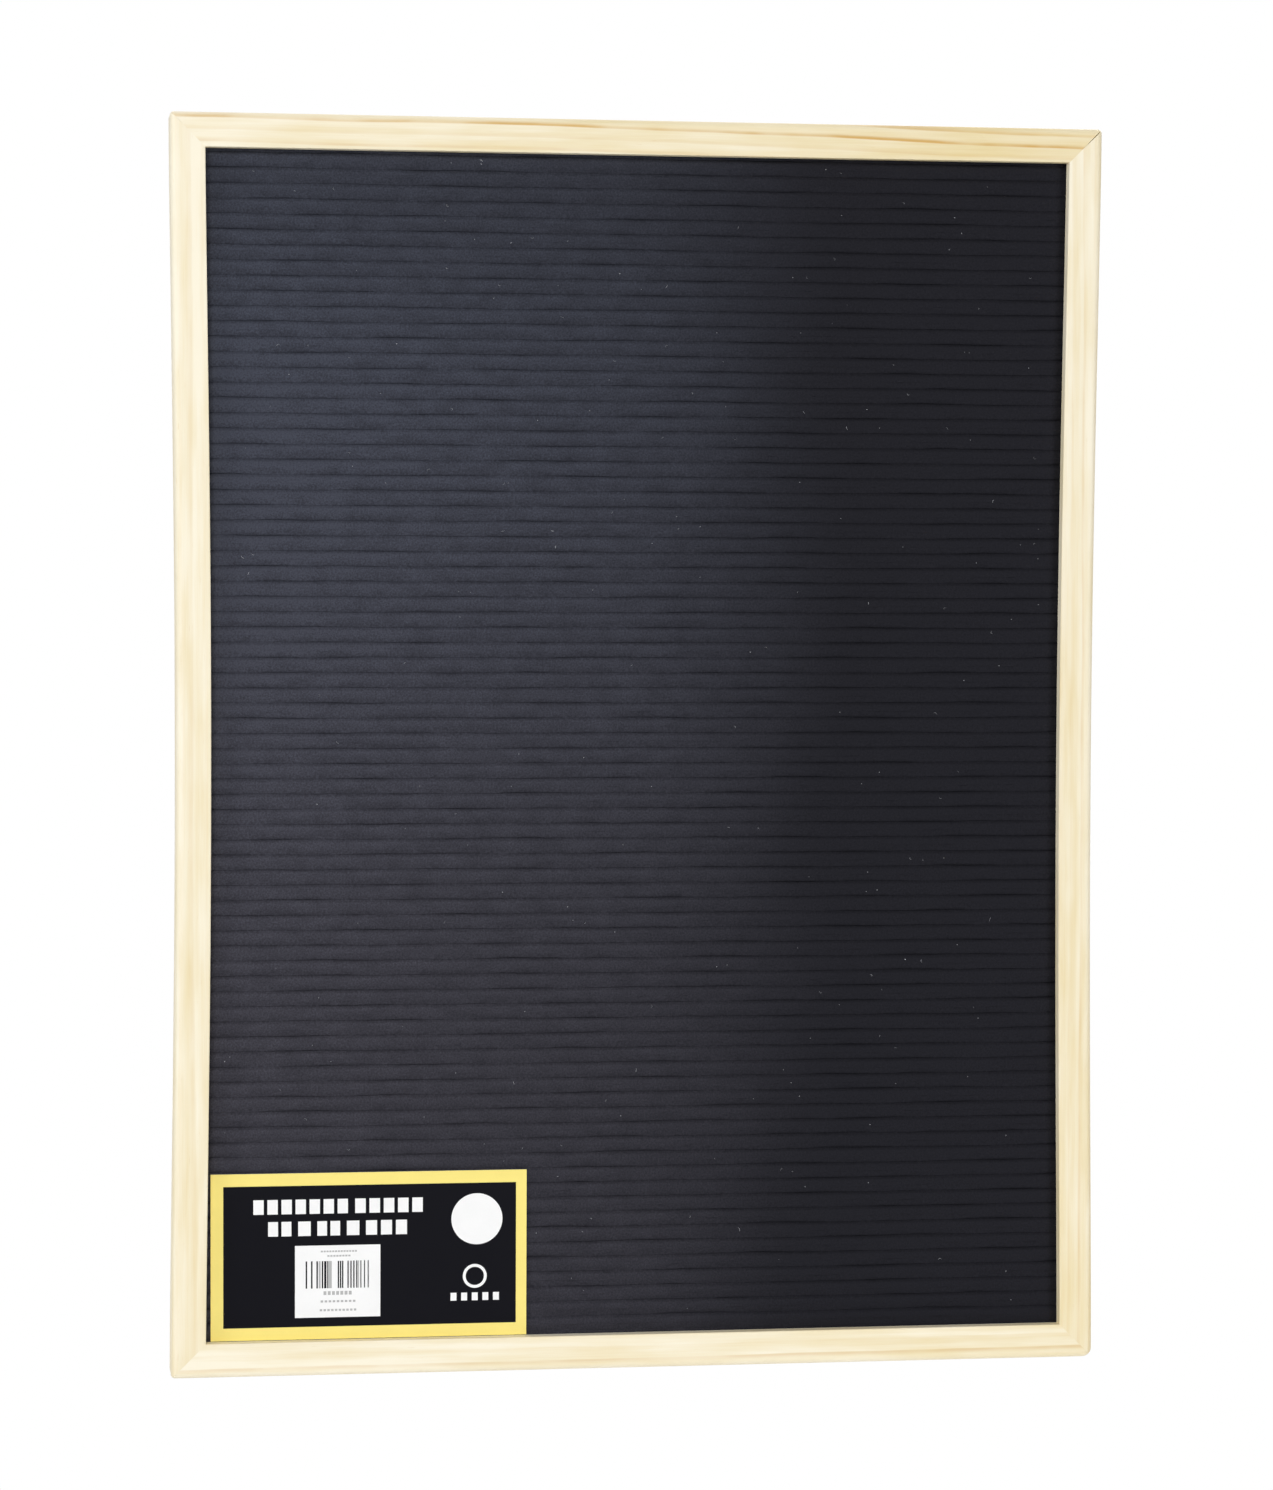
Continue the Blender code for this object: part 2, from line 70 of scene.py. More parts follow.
# The board's own axes, and its box, which everything below is measured from
RIGHT = Vector((1, 0, 0))
BACK = Vector((0, 1, 0))
UP = Vector((0, 0, 1))
BOARD_LOW, BOARD_HIGH = CAD_BOX
BOARD_SIZE = BOARD_HIGH - BOARD_LOW
BOARD_MIDDLE = (BOARD_LOW + BOARD_HIGH) / 2
FRONT_MIDDLE = Vector((BOARD_MIDDLE.x, BOARD_LOW.y, BOARD_MIDDLE.z))
FELT_LOW, FELT_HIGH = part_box("felt")
CARD_LOW, CARD_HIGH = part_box("card")
LABEL_LOW, LABEL_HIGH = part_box("label_sticker")


def colour(name, what, red, green, blue):
    """A colour property whose default is written in screen values out of 255."""
    linear = [((c / 255 + 0.055) / 1.055) ** 2.4 if c > 10 else c / 255 / 12.92 for c in (red, green, blue)]
    return bpy.props.FloatVectorProperty(
        name=name, description=what, subtype="COLOR", size=3, min=0, max=1, default=linear
    )


def length(name, what, metres):
    return bpy.props.FloatProperty(
        name=name, description=what, default=metres, unit="LENGTH", subtype="DISTANCE", precision=5
    )


def angle(name, what, degrees):
    turn = math.radians(degrees)
    return bpy.props.FloatProperty(name=name, description=what, default=turn, unit="ROTATION")


def amount(name, what, value):
    return bpy.props.FloatProperty(name=name, description=what, default=value, min=0)


def tally(name, what, number, least):
    return bpy.props.IntProperty(name=name, description=what, default=number, min=least)


class MessageBoardFrameSettings(bpy.types.PropertyGroup):
    """Sizes and colours of the pine rails."""

    face: length("Face", "Width of a rail seen from the front", 0.0165)
    lip: length("Lip", "Thickness of the lip in front of the felt", 0.006)
    rebate: length("Rebate", "How far the lip covers the felt", 0.006)
    outer_round: length("Outer round", "Radius of the outer front edge", 0.003)
    inner_round: length("Inner round", "Radius of the inner front edge", 0.0005)
    back_round: length("Back round", "Radius of the outer back edge", 0.0004)
    corner_round: length("Corner round", "Radius that three corners are sanded to", 0.002)
    worn_corner_round: length("Worn corner", "Radius of the bottom right corner", 0.0045)
    draw_in: length("Draw-in", "How far the side rails bend in at half height", 0.0027)
    mitre_gap: length("Mitre gap", "Gap in a tight mitre", 0.00004)
    open_mitre: length("Open mitre", "Gap near the outer end of the top right mitre", 0.0005)
    slot_play: length("Slot play", "Room round the steel in its slot", 0.00015)
    pale: colour("Pale wood", "Spring growth between the lines", 253, 245, 223)
    warm: colour("Warm wood", "Broad warmer bands", 234, 214, 160)
    line: colour("Growth line", "Summer growth, the thin dark lines", 214, 172, 100)


class MessageBoardFeltSettings(bpy.types.PropertyGroup):
    """Sizes and colours of the grooved felt."""

    pitch: length("Pitch", "From one groove to the next", 0.007235)
    count: tally("Grooves", "Number of grooves", 79, 1)
    thickness: length("Thickness", "Thickness of the felt", 0.0008)
    depth: length("Depth", "Depth of a groove", 0.003)
    dip: length("Dip", "How far the nap falls before the two sides of a groove meet", 0.00067)
    brow: length("Brow", "Width over which a rib's upper edge falls", 0.0012)
    chin: length("Chin", "Width over which a rib's lower edge falls", 0.0027)
    throat: length("Throat", "Half width of a groove under the dip, where the nap nearly meets", 0.00003)
    crown: length("Crown", "How far a rib stands out in its middle", 0.00020)
    wander: length("Wander", "How far a groove strays from straight", 0.00022)
    rim_press: length("Rim press", "How much thinner the lip presses the felt's rim", 0.0003)
    rim_play: length("Rim play", "From the lip to where the pressed rim ends", 0.0003)
    rim_step: length("Rim step", "Width of the slope down to the pressed rim", 0.0002)
    columns: tally("Columns", "Mesh columns across the felt", 82, 6)
    # The dark nap is the felt's own colour. The two lighter colours after it are painted sheen: a reflection
    # of the lamps painted into the nap's colour at the upper and lower left.
    dark: colour("Dark nap", "Nap that lies away from the light, at the right", 36, 36, 41)
    painted_sheen: colour("Brushed nap", "Nap that catches the light, at the upper left", 68, 71, 82)
    painted_sheen_low: colour("Brushed nap, low", "Nap that catches the light, at the lower left", 70, 69, 77)
    lint: colour("Lint", "Pale fibres caught in the nap", 196, 198, 204)
    lint_count: tally("Lint fibres", "Number of lint fibres, less those the card would cover", 230, 0)


class MessageBoardCardSettings(bpy.types.PropertyGroup):
    """Sizes and colours of the printed card."""

    border: length("Border", "Width of the card's border", 0.006)
    right_border: length("Right border", "Width of the border at the right, cut narrower", 0.0051)
    yellow: colour("Border colour", "Ink of the border", 255, 236, 138)
    black: colour("Field colour", "Ink of the middle field", 20, 20, 25)
    white: colour("White", "Unprinted card and paper", 251, 251, 251)
    grey: colour("Grey", "Small print on the label", 186, 186, 186)


class MessageBoardBackSettings(bpy.types.PropertyGroup):
    """Colours of what closes the back."""

    board: colour("Backing", "Pressed fibre board", 150, 112, 78)
    board_dark: colour("Backing flecks", "Darker fibres of the board", 104, 72, 46)
    steel: colour("Steel", "Zinc-plated steel", 168, 171, 175)
    core: colour("Core", "Moulded ribbed core", 44, 44, 47)
    edge_round: length("Edge round", "Eased edges of the small steel pieces", 0.00012)


class MessageBoardStageSettings(bpy.types.PropertyGroup):
    """Camera, lights and floor."""

    camera_place: bpy.props.FloatVectorProperty(
        name="Camera", description="Where the camera stands", subtype="TRANSLATION", unit="LENGTH",
        default=(-0.2890, -1.9725, -0.1865),
    )
    lens: bpy.props.FloatProperty(name="Lens", description="Focal length in millimetres", default=99.406)
    yaw: angle("Yaw", "Turn about the vertical", -8.347)
    pitch: angle("Pitch", "Tilt up", -2.523)
    roll: angle("Roll", "Turn about the line of sight", -0.233)
    floor_drop: length("Floor drop", "From the board's lower edge down to the floor", 0.355)
    floor_reach: length("Floor reach", "Radius of the floor", 1.15)
    sky: amount("Sky", "Strength of the even light", 0.23)
    key: amount("Key", "Watts of the lamp at the front left", 30.5)
    side: amount("Side", "Watts of the lamp far to the left", 16.5)
    fill: amount("Fill", "Watts of the lamp at the front right", 24)
    low: amount("Low", "Watts of the lamp in front and below", 9)
    behind: amount("Behind", "Watts of the lamp behind the board, high and to the right", 62)
    above: amount("Above", "Watts of the lamp above the board", 11)


# Shader helpers


def node(tree, kind, values=None, **settings):
    """A node with its settings, and with constants or other nodes' sockets on its inputs."""
    made = tree.nodes.new(kind)
    for name, value in settings.items():
        setattr(made, name, value)
    for key, value in (values or {}).items():
        if isinstance(value, bpy.types.NodeSocket):
            tree.links.new(value, made.inputs[key])
        else:
            made.inputs[key].default_value = value
    return made


def calc(tree, operation, *values):
    """The result of one Math node."""
    made = node(tree, "ShaderNodeMath", dict(enumerate(values)), operation=operation)
    return made.outputs[0]


def product(tree, value, *others):
    for other in others:
        value = calc(tree, "MULTIPLY", value, other)
    return value


def sway(tree, base, value, share):
    """The base plus a share of how far a value from 0 to 1 lies from its middle."""
    return calc(tree, "MULTIPLY_ADD", calc(tree, "SUBTRACT", value, 0.5), share, base)


def vector(tree, operation, *values):
    made = node(tree, "ShaderNodeVectorMath", dict(enumerate(values)), operation=operation)
    return made.outputs[0]


def smooth(tree, value, low, high, to_low=0.0, to_high=1.0, shape="SMOOTHSTEP"):
    """A step: to_low where value is low, to_high where it is high."""
    values = {"Value": value, "From Min": low, "From Max": high, "To Min": to_low, "To Max": to_high}
    return node(tree, "ShaderNodeMapRange", values, interpolation_type=shape).outputs["Result"]


def mix(tree, factor, first, second, blend="MIX"):
    """Two colours mixed by a factor."""
    made = node(tree, "ShaderNodeMix", {0: factor, 6: first, 7: second}, data_type="RGBA", blend_type=blend)
    return made.outputs[2]


def rgba(value, share=1.0):
    """A colour with its alpha, darker where the share is below 1."""
    return (*(c * share for c in value), 1.0)


def noise(tree, place, scale, detail=2.0, roughness=0.5, distortion=0.0):
    """The value of a noise texture, from 0 to 1. Three scales in a tuple stretch it."""
    if isinstance(scale, tuple):
        place, scale = vector(tree, "MULTIPLY", place, scale), 1.0
    values = {"Vector": place, "Scale": scale, "Detail": detail}
    values.update({"Roughness": roughness, "Distortion": distortion})
    return node(tree, "ShaderNodeTexNoise", values).outputs[0]


def new_group(name, inputs, outputs):
    """A node group with named sockets, and its input and output nodes."""
    group = bpy.data.node_groups.new(name, "ShaderNodeTree")
    for label, kind in inputs.items():
        group.interface.new_socket(name=label, in_out="INPUT", socket_type=kind)
    for label, kind in outputs.items():
        group.interface.new_socket(name=label, in_out="OUTPUT", socket_type=kind)
    return group, group.nodes.new("NodeGroupInput"), group.nodes.new("NodeGroupOutput")


def placed(tree, name, values):
    """One use of a node group, which is built when it is first asked for."""
    group = bpy.data.node_groups.get(name) or GROUPS[name]()
    return node(tree, "ShaderNodeGroup", values, node_tree=group)


def split(tree, value):
    """The X, Y and Z of a vector."""
    return node(tree, "ShaderNodeSeparateXYZ", {0: value}).outputs


def toned(tree, base, factor):
    """A colour made lighter or darker by a factor."""
    return node(tree, "ShaderNodeHueSaturation", {"Value": factor, "Color": base}).outputs["Color"]


def new_material(name, roughness, specular=0.5, metallic=0.0):
    """A material, its tree, its shader and its object coordinates."""
    made = bpy.data.materials.new(name)
    made.use_nodes = True
    tree = made.node_tree
    shader = tree.nodes["Principled BSDF"]
    shader.inputs["Roughness"].default_value = roughness
    shader.inputs["Specular IOR Level"].default_value = specular
    shader.inputs["Metallic"].default_value = metallic
    place = tree.nodes.new("ShaderNodeTexCoord").outputs["Object"]
    return made, tree, shader, place


def surface(tree, shader, base, height, distance, strength, rough=None):
    """Gives the shader its colour, a bump from a height and, where there is one, a roughness."""
    bump = node(tree, "ShaderNodeBump", {"Height": height, "Distance": distance, "Strength": strength})
    tree.links.new(base, shader.inputs["Base Color"])
    tree.links.new(bump.outputs["Normal"], shader.inputs["Normal"])
    if rough is not None:
        tree.links.new(rough, shader.inputs["Roughness"])


FLOAT = "NodeSocketFloat"
VECTOR = "NodeSocketVector"
COLOUR = "NodeSocketColor"

# What sets one rail's grain apart: spacing and start of its growth lines, drift along the rail, bow,
# strength of the main line and of the others, warmth of the wood, how it warms along the rail, and a seed
GRAIN_VALUES = ("Spacing", "Start", "Drift", "Bow", "Main", "Others", "Warmth", "Warming", "Seed")


def pine_grain_group():
    """Straight pine grain: growth lines that drift along the rail, broad warm bands and fine fibres.

    Place is the rail's own place: X in from its outer face, Y back from its front, Z along it.
    """
    inputs = {"Place": VECTOR, **dict.fromkeys(GRAIN_VALUES, FLOAT)}
    inputs.update(dict.fromkeys(("Pale", "Warm", "Line"), COLOUR))
    tree, start, end = new_group("pine_grain", inputs, {"Colour": COLOUR, "Height": FLOAT})
    given = start.outputs
    inset, depth, along = split(tree, given["Place"])
    seed_shift = node(tree, "ShaderNodeCombineXYZ", {2: given["Seed"]}).outputs[0]
    seeded = vector(tree, "ADD", given["Place"], seed_shift)

    # Where a point lies across the years' growth: one year ends at each whole number
    line_place = calc(tree, "MULTIPLY_ADD", along, given["Drift"], inset)
    line_place = calc(tree, "MULTIPLY_ADD", depth, 0.45, line_place)
    line_place = calc(tree, "MULTIPLY_ADD", product(tree, along, along), given["Bow"], line_place)
    line_place = sway(tree, line_place, noise(tree, seeded, (20, 20, 9), 3.0), 0.0030)
    line_place = calc(tree, "SUBTRACT", line_place, given["Start"])
    ring = calc(tree, "DIVIDE", line_place, given["Spacing"])
    turn = calc(tree, "FRACT", ring)
    year = calc(tree, "FLOOR", ring)
    year_seed = calc(tree, "ADD", year, given["Seed"])
    chance = node(tree, "ShaderNodeTexWhiteNoise", {"W": year_seed}, noise_dimensions="1D").outputs["Value"]

    # Each year ends in a line that darkens slowly and stops short, and that fades in patches
    rise = smooth(tree, turn, 0.58, 0.88)
    fall = smooth(tree, turn, 0.90, 1.0, 1.0, 0.0)
    fading = smooth(tree, noise(tree, seeded, (60, 60, 26)), 0.34, 0.64, 0.35, 1.0)
    is_main = calc(tree, "COMPARE", year, 0.0, 0.5)
    other = product(tree, given["Others"], smooth(tree, chance, 0.0, 1.0, 0.35))
    strength = node(tree, "ShaderNodeMix", {0: is_main, 2: other, 3: given["Main"]}).outputs[0]
    warming = calc(tree, "MULTIPLY_ADD", along, given["Warming"], 1.0)
    dark_line = product(tree, rise, fall, fading, strength, warming)
    dark_line = node(tree, "ShaderNodeClamp", {0: dark_line}).outputs[0]

    band = product(tree, smooth(tree, turn, 0.1, 0.7), smooth(tree, turn, 0.85, 1.0, 1.0, 0.0))
    streak = noise(tree, seeded, (420, 420, 11), 3.0)
    fibre = noise(tree, seeded, (2600, 2600, 60), 3.0)
    cloud = noise(tree, seeded, (110, 110, 16))
    warmth = calc(tree, "MULTIPLY_ADD", along, given["Warming"], given["Warmth"])
    for part, share in ((streak, 0.75), (band, 0.15), (cloud, 1.2), (fibre, 0.35)):
        warmth = sway(tree, warmth, part, share)
    warmth = node(tree, "ShaderNodeClamp", {0: warmth, 2: 1.4}).outputs[0]
    wood = mix(tree, warmth, given["Pale"], given["Warm"])
    wood = mix(tree, dark_line, wood, given["Line"])

    pore = smooth(tree, noise(tree, seeded, (3200, 3200, 130), 1.0), 0.72, 0.80, 0.0, 0.35)
    wood = mix(tree, pore, wood, given["Line"])
    tree.links.new(wood, end.inputs["Colour"])
    height = calc(tree, "MULTIPLY_ADD", fibre, 0.6, product(tree, dark_line, 0.4))
    height = calc(tree, "MULTIPLY_ADD", pore, -1.5, height)
    tree.links.new(height, end.inputs["Height"])
    return tree


def printed_row_group():
    """A printed row of like blocks: 1 inside the row's box and off its gaps.

    Place runs across in X and up in Z.
    """
    sizes = ("Across", "Up", "Width", "Height", "Pitch", "Gap")
    inputs = {"Place": VECTOR, **dict.fromkeys(sizes, FLOAT)}
    tree, start, end = new_group("printed_row", inputs, {"Mask": FLOAT})
    given = start.outputs
    x, _, z = split(tree, given["Place"])
    across = calc(tree, "SUBTRACT", x, given["Across"])
    up = calc(tree, "SUBTRACT", z, given["Up"])
    travel = calc(tree, "MULTIPLY_ADD", given["Width"], 0.5, across)
    turn = calc(tree, "FRACT", calc(tree, "DIVIDE", travel, given["Pitch"]))
    inked = calc(tree, "SUBTRACT", 1.0, calc(tree, "DIVIDE", given["Gap"], given["Pitch"]))
    mask = calc(tree, "LESS_THAN", turn, inked)
    for offset, size in ((across, given["Width"]), (up, given["Height"])):
        inside = calc(tree, "LESS_THAN", calc(tree, "ABSOLUTE", offset), product(tree, size, 0.5))
        mask = product(tree, mask, inside)
    tree.links.new(mask, end.inputs["Mask"])
    return tree


def paper_fibre_group():
    """Faint cloudiness and fine fibres of coated paper and card."""
    tree, start, end = new_group("paper_fibre", {"Place": VECTOR}, {"Shade": FLOAT, "Height": FLOAT})
    place = start.outputs["Place"]
    fibre = noise(tree, place, 2200.0, 3.0)
    shade = sway(tree, 0.985, noise(tree, place, 60.0, 3.0), 0.08)
    shade = sway(tree, shade, fibre, 0.05)
    tree.links.new(shade, end.inputs["Shade"])
    tree.links.new(fibre, end.inputs["Height"])
    return tree


GROUPS = {
    "pine_grain": pine_grain_group,
    "printed_row": printed_row_group,
    "paper_fibre": paper_fibre_group,
}


# Mesh helpers


def settings(name):
    return getattr(bpy.context.scene, "message_board_" + name)


def show(name, mesh, finish, matrix=None):
    """A new piece of the board, riding on its body."""
    mesh.materials.append(finish)
    piece = bpy.data.objects.new(name, mesh)
    if matrix:
        piece.matrix_world = matrix
    bpy.context.scene.collection.objects.link(piece)
    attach(piece, BODY)
    return piece


def repaint(names, finish):
    for name in names:
        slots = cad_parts[name].data.materials
        slots.clear()
        slots.append(finish)


def nodes_starting(*starts):
    return sorted(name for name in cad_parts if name.startswith(starts))


def soften(mesh, degrees):
    """Smooth shading that stays sharp over edges steeper than the given angle."""
    left_over = mesh.attributes.get("custom_normal")  # a cut takes these over from the cutter
    if left_over:
        mesh.attributes.remove(left_over)
    mesh.shade_smooth()
    mesh.set_sharp_from_angle(angle=math.radians(degrees))


def even_shading(piece):
    """Keeps large flat faces flat where they meet a rounding."""
    even = piece.modifiers.new("even shading", "WEIGHTED_NORMAL")
    even.keep_sharp = True


def arc(centre, radius, start_deg, end_deg, steps):
    """Points along an arc, both ends included."""
    turns = [math.radians(start_deg + (end_deg - start_deg) * i / steps) for i in range(steps + 1)]
    return [(centre[0] + radius * math.cos(t), centre[1] + radius * math.sin(t)) for t in turns]


def to_mesh(name, sheet):
    """A mesh from an edit mesh, which is freed."""
    mesh = bpy.data.meshes.new(name)
    sheet.to_mesh(mesh)
    sheet.free()
    return mesh


def mesh_of(name, points, faces):
    """A mesh from points and faces, with its faces turned outwards."""
    sheet = bmesh.new()
    verts = [sheet.verts.new(point) for point in points]
    for face in faces:
        sheet.faces.new([verts[i] for i in face])
    bmesh.ops.recalc_face_normals(sheet, faces=sheet.faces)
    return to_mesh(name, sheet)


# Rails

# Each rail's own values, in the order of GRAIN_VALUES
RAIL_GRAIN = {
    "rail_top": (0.0057, -0.0006, -0.017, -0.035, 1.00, 0.50, 0.50, 1.35, 3.0),
    "rail_bottom": (0.0064, -0.0009, 0.004, 0.0, 0.36, 0.13, 0.30, -1.0, 11.0),
    "rail_left": (0.0105, 0.0010, 0.004, 0.0, 0.12, 0.10, 0.24, -0.6, 23.0),
    "rail_right": (0.0054, 0.0033, 0.003, 0.0, 0.22, 0.19, 0.37, 0.65, 37.0),
}


def rail_section(make):
    """A rail's section as a closed loop of (inset, depth), from its outer back edge over its front."""
    deep = BOARD_SIZE.y
    wall = make.face - make.rebate
    back = arc((make.back_round, deep - make.back_round), make.back_round, 90, 180, 3)
    outer = arc((make.outer_round, make.outer_round), make.outer_round, 180, 270, 12)
    face = [(make.face * i / 8, 0) for i in range(2, 8)]
    inner = arc((make.face - make.inner_round, make.inner_round), make.inner_round, 270, 360, 5)
    return back + outer + face + inner + [(make.face, make.lip), (wall, make.lip), (wall, deep)]


def corner_path(make, inset, round_to, gap):
    """A rail's end at one inset, from the mitre inwards: (inset, distance from the board's edge)."""
    steps = 6
    spacing = 0.0004
    reach = round_to - inset
    back_off = gap * math.sqrt(2) / 2
    if reach <= 0:
        return [(inset, inset + back_off + spacing * i) for i in range(steps + 1)]
    path = []
    for i in range(steps + 1):
        turn = math.radians(45) * (1 - i / steps)
        away = round_to - reach * math.sin(turn) + back_off * (1 - i / steps)
        path.append((round_to - reach * math.cos(turn), away))
    return path


def rail_bend(make, along):
    """How far a side rail stands in from straight at a distance from its middle."""
    part = min(abs(along) / (BOARD_SIZE.z / 2), 1.0)
    return make.draw_in * (1 - part**2) ** 1.5


def rail_mesh(make, name, size, bent, rounds, gaps):
    """One rail in its own place: X in from the outer face, Y back from the front, Z along from its middle.

    rounds and gaps are for its low and high end; a gap is a function of the inset.
    """
    section = rail_section(make)
    half = size / 2
    stations = 64
    past_mitre = 0.006  # from the mitre's inner end to the first station
    clear = half - (make.face + past_mitre)
    points = []
    for inset, depth in section:
        ends = [corner_path(make, inset, rounds[k], gaps[k](inset)) for k in (0, 1)]
        low = [(x, -half + away) for x, away in ends[0]]
        high = [(x, half - away) for x, away in reversed(ends[1])]
        middle = [(inset, clear * (2 * i / stations - 1)) for i in range(stations + 1)]
        for x, z in low + middle + high:
            points.append((x + (rail_bend(make, z) if bent else 0), depth, z))
    rings = len(points) // len(section)
    count = len(section)
    faces = []
    for i in range(count):
        j = (i + 1) % count
        for k in range(rings - 1):
            faces.append((i * rings + k, i * rings + k + 1, j * rings + k + 1, j * rings + k))
    for k in (0, rings - 1):
        faces.append([i * rings + k for i in range(count)])
    return mesh_of(name, points, faces)


def slot_cutter(name, grow):
    """A steel piece grown all round. A V-nail's is also opened to the back, where it is driven in from there.
    """
    same_place = 1e-5
    past_back = 0.001
    sheet = bmesh.new()
    sheet.from_mesh(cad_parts[name].data)
    bmesh.ops.remove_doubles(sheet, verts=sheet.verts, dist=same_place)
    bmesh.ops.recalc_face_normals(sheet, faces=sheet.faces)
    sheet.normal_update()
    back = max(vertex.co.y for vertex in sheet.verts)
    moves = [(vertex, vertex.normal * grow) for vertex in sheet.verts]
    for vertex, move in moves:
        driven_from_back = name.startswith("v_nail") and abs(vertex.co.y - back) < same_place
        vertex.co += move
        if driven_from_back:
            vertex.co.y = BOARD_HIGH.y + past_back
    return bpy.data.objects.new("slot_" + name, to_mesh("slot_" + name, sheet))


def touches(piece, low, high):
    """Whether a piece's box meets the box between two corners."""
    places = [vertex.co for vertex in piece.data.vertices]
    return all(
        min(p[i] for p in places) <= high[i] and max(p[i] for p in places) >= low[i] for i in range(3)
    )


def cut_slots(piece, cutters):
    """Takes every cutter out of the piece's mesh."""
    for cutter in cutters:
        change = piece.modifiers.new(cutter.name, "BOOLEAN")
        change.operation = "DIFFERENCE"
        change.solver = "EXACT"
        change.object = cutter
    bpy.context.view_layer.update()
    seen = piece.evaluated_get(bpy.context.evaluated_depsgraph_get())
    cut = bpy.data.meshes.new_from_object(seen)
    piece.modifiers.clear()
    piece.data = cut


def pine_material(name, make, grain_values):
    made, tree, shader, place = new_material(name, 0.55, 0.35)
    values = dict(zip(GRAIN_VALUES, grain_values, strict=True))
    values.update({"Place": place, "Pale": rgba(make.pale), "Warm": rgba(make.warm), "Line": rgba(make.line)})
    tone, height = placed(tree, "pine_grain", values).outputs
    surface(tree, shader, tone, height, 0.00006, 0.6, smooth(tree, height, 0.0, 1.0, 0.62, 0.5))
    return made


class MESSAGEBOARD_OT_rails(bpy.types.Operator):
    """Builds the four pine rails and their grain"""

    bl_idname = "message_board.rails"
    bl_label = "Pine rails"

    def execute(self, context):
        make = settings("frame")
        wide, high = BOARD_SIZE.x, BOARD_SIZE.z
        plain = make.corner_round
        worn = make.worn_corner_round

        def tight(inset):
            return make.mitre_gap

        def opening(inset):
            closed = min(1.0, inset / plain)  # at the very corner
            return make.mitre_gap + make.open_mitre * closed * max(0.0, 1 - inset / (make.face * 0.6))

        # name: inward direction, size, bent, rounds and gaps at the low and high end
        rails = {
            "rail_top": (-UP, wide, False, (plain, plain), (tight, opening)),
            "rail_bottom": (UP, wide, False, (worn, plain), (tight, tight)),
            "rail_left": (RIGHT, high, True, (plain, plain), (tight, tight)),
            "rail_right": (-RIGHT, high, True, (plain, worn), (opening, tight)),
        }
        steel = nodes_starting("point_", "v_nail_")
        cutters = [slot_cutter(name, make.slot_play) for name in steel]
        for cutter in cutters:
            context.scene.collection.objects.link(cutter)
        context.view_layer.update()
        for name, (inward, size, bent, rounds, gaps) in rails.items():
            half = BOARD_SIZE.x / 2 if bent else BOARD_SIZE.z / 2
            along = inward.cross(BACK)
            turn = Matrix((inward, BACK, along)).transposed().to_4x4()
            matrix = Matrix.Translation(FRONT_MIDDLE - inward * half) @ turn
            finish = pine_material("pine_" + name, make, RAIL_GRAIN[name])
            piece = show(name + "_wood", rail_mesh(make, name, size, bent, rounds, gaps), finish, matrix)
            cut_slots(piece, [cutter for cutter in cutters if touches(cutter, *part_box(name))])
            soften(piece.data, 35)
            even_shading(piece)
            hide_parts(name)
        for cutter in cutters:
            bpy.data.objects.remove(cutter)
        return {"FINISHED"}


# Felt


def groove_up(make, number):
    """Height of a groove's middle. The lowest groove is number 0."""
    return (FELT_LOW.z + FELT_HIGH.z) / 2 + make.pitch * (number - (make.count - 1) / 2)


def straying(rng, across, size, waves=((0.021, 0.25), (0.047, 0.45), (0.11, 0.6))):
    """A smooth random line across the felt, of about the given size either way."""
    line = np.zeros_like(across)
    for period, part in waves:
        shift = rng.uniform(0, 2 * math.pi)
        stretch = rng.uniform(0.8, 1.25)
        line += part * np.sin(2 * math.pi * across / (period * stretch) + shift)
    return line * size


def felt_front(make, across):
    """Rows of the felt's front from bottom to top: a list of (up, depth) pairs of arrays across the felt."""
    rng = np.random.default_rng(7)
    least_throat = 0.00001
    rim_depth = 0.0002
    proudest, set_back = -0.00002, 0.00003  # these keep a rib's middle inside the felt's box
    flat = np.zeros_like(across)
    rows = [(flat + FELT_LOW.z, flat + rim_depth)]
    for i in range(make.count):
        middle = groove_up(make, i)
        centre = middle + straying(rng, across, make.wander)
        throat = np.maximum(make.throat * (1 + straying(rng, across, 0.9)), least_throat)
        squeezed = 0.25 if i == 0 else 1.0  # the lip below presses the lowest groove nearly flat
        dip = make.dip * (1 + straying(rng, across, 0.55)) * squeezed
        crown = make.crown * (1 + straying(rng, across, 0.5))
        lump = straying(rng, across, 0.00005, ((0.012, 0.5), (0.019, 0.5), (0.036, 0.6)))
        brow = fall_rows(make.brow * (1 + straying(rng, across, 0.2)), throat, crown, dip)
        chin = fall_rows(make.chin * (1 + straying(rng, across, 0.2)), throat, crown, dip)
        floor = make.depth + flat
        below = [(make.pitch * 0.38, crown * 0.3 + lump * 0.5)] + brow + [(throat * 0.9, floor)]
        above = [(make.pitch * 0.42, crown * 0.2 + lump * 0.5)] + chin + [(throat * 0.9, floor)]
        rows += [(centre - off, depth) for off, depth in below]
        rows += [(centre + off, depth) for off, depth in reversed(above)]
        rows.append((middle + make.pitch / 2 + flat, np.maximum(lump, proudest) + set_back))
    rows[-1] = (flat + FELT_HIGH.z, flat + rim_depth)
    return rows


def fall_rows(width, throat, crown, dip):
    """A rib's edge, ever steeper down into a groove: (distance from the groove's centre, depth)."""
    parts = (1.0, 0.62, 0.34, 0.12, 0.0)
    return [(throat + width * part, crown + dip * (1 - part) ** 2) for part in parts]


def felt_back(make):
    """The back's (up, depth) points from bottom to top.

    They are grouped by groove, and each group ends in a rib's middle.
    """
    top = make.thickness
    wall = 0.0006 + make.thickness
    slant = 0.00015
    floor = FELT_HIGH.y - FELT_LOW.y
    groups = []
    for i in range(make.count):
        middle = groove_up(make, i)
        end = FELT_HIGH.z if i == make.count - 1 else middle + make.pitch / 2
        groups.append([
            (middle - wall, top), (middle - wall + slant, floor), (middle + wall - slant, floor),
            (middle + wall, top), (end, top),
        ])
    return groups


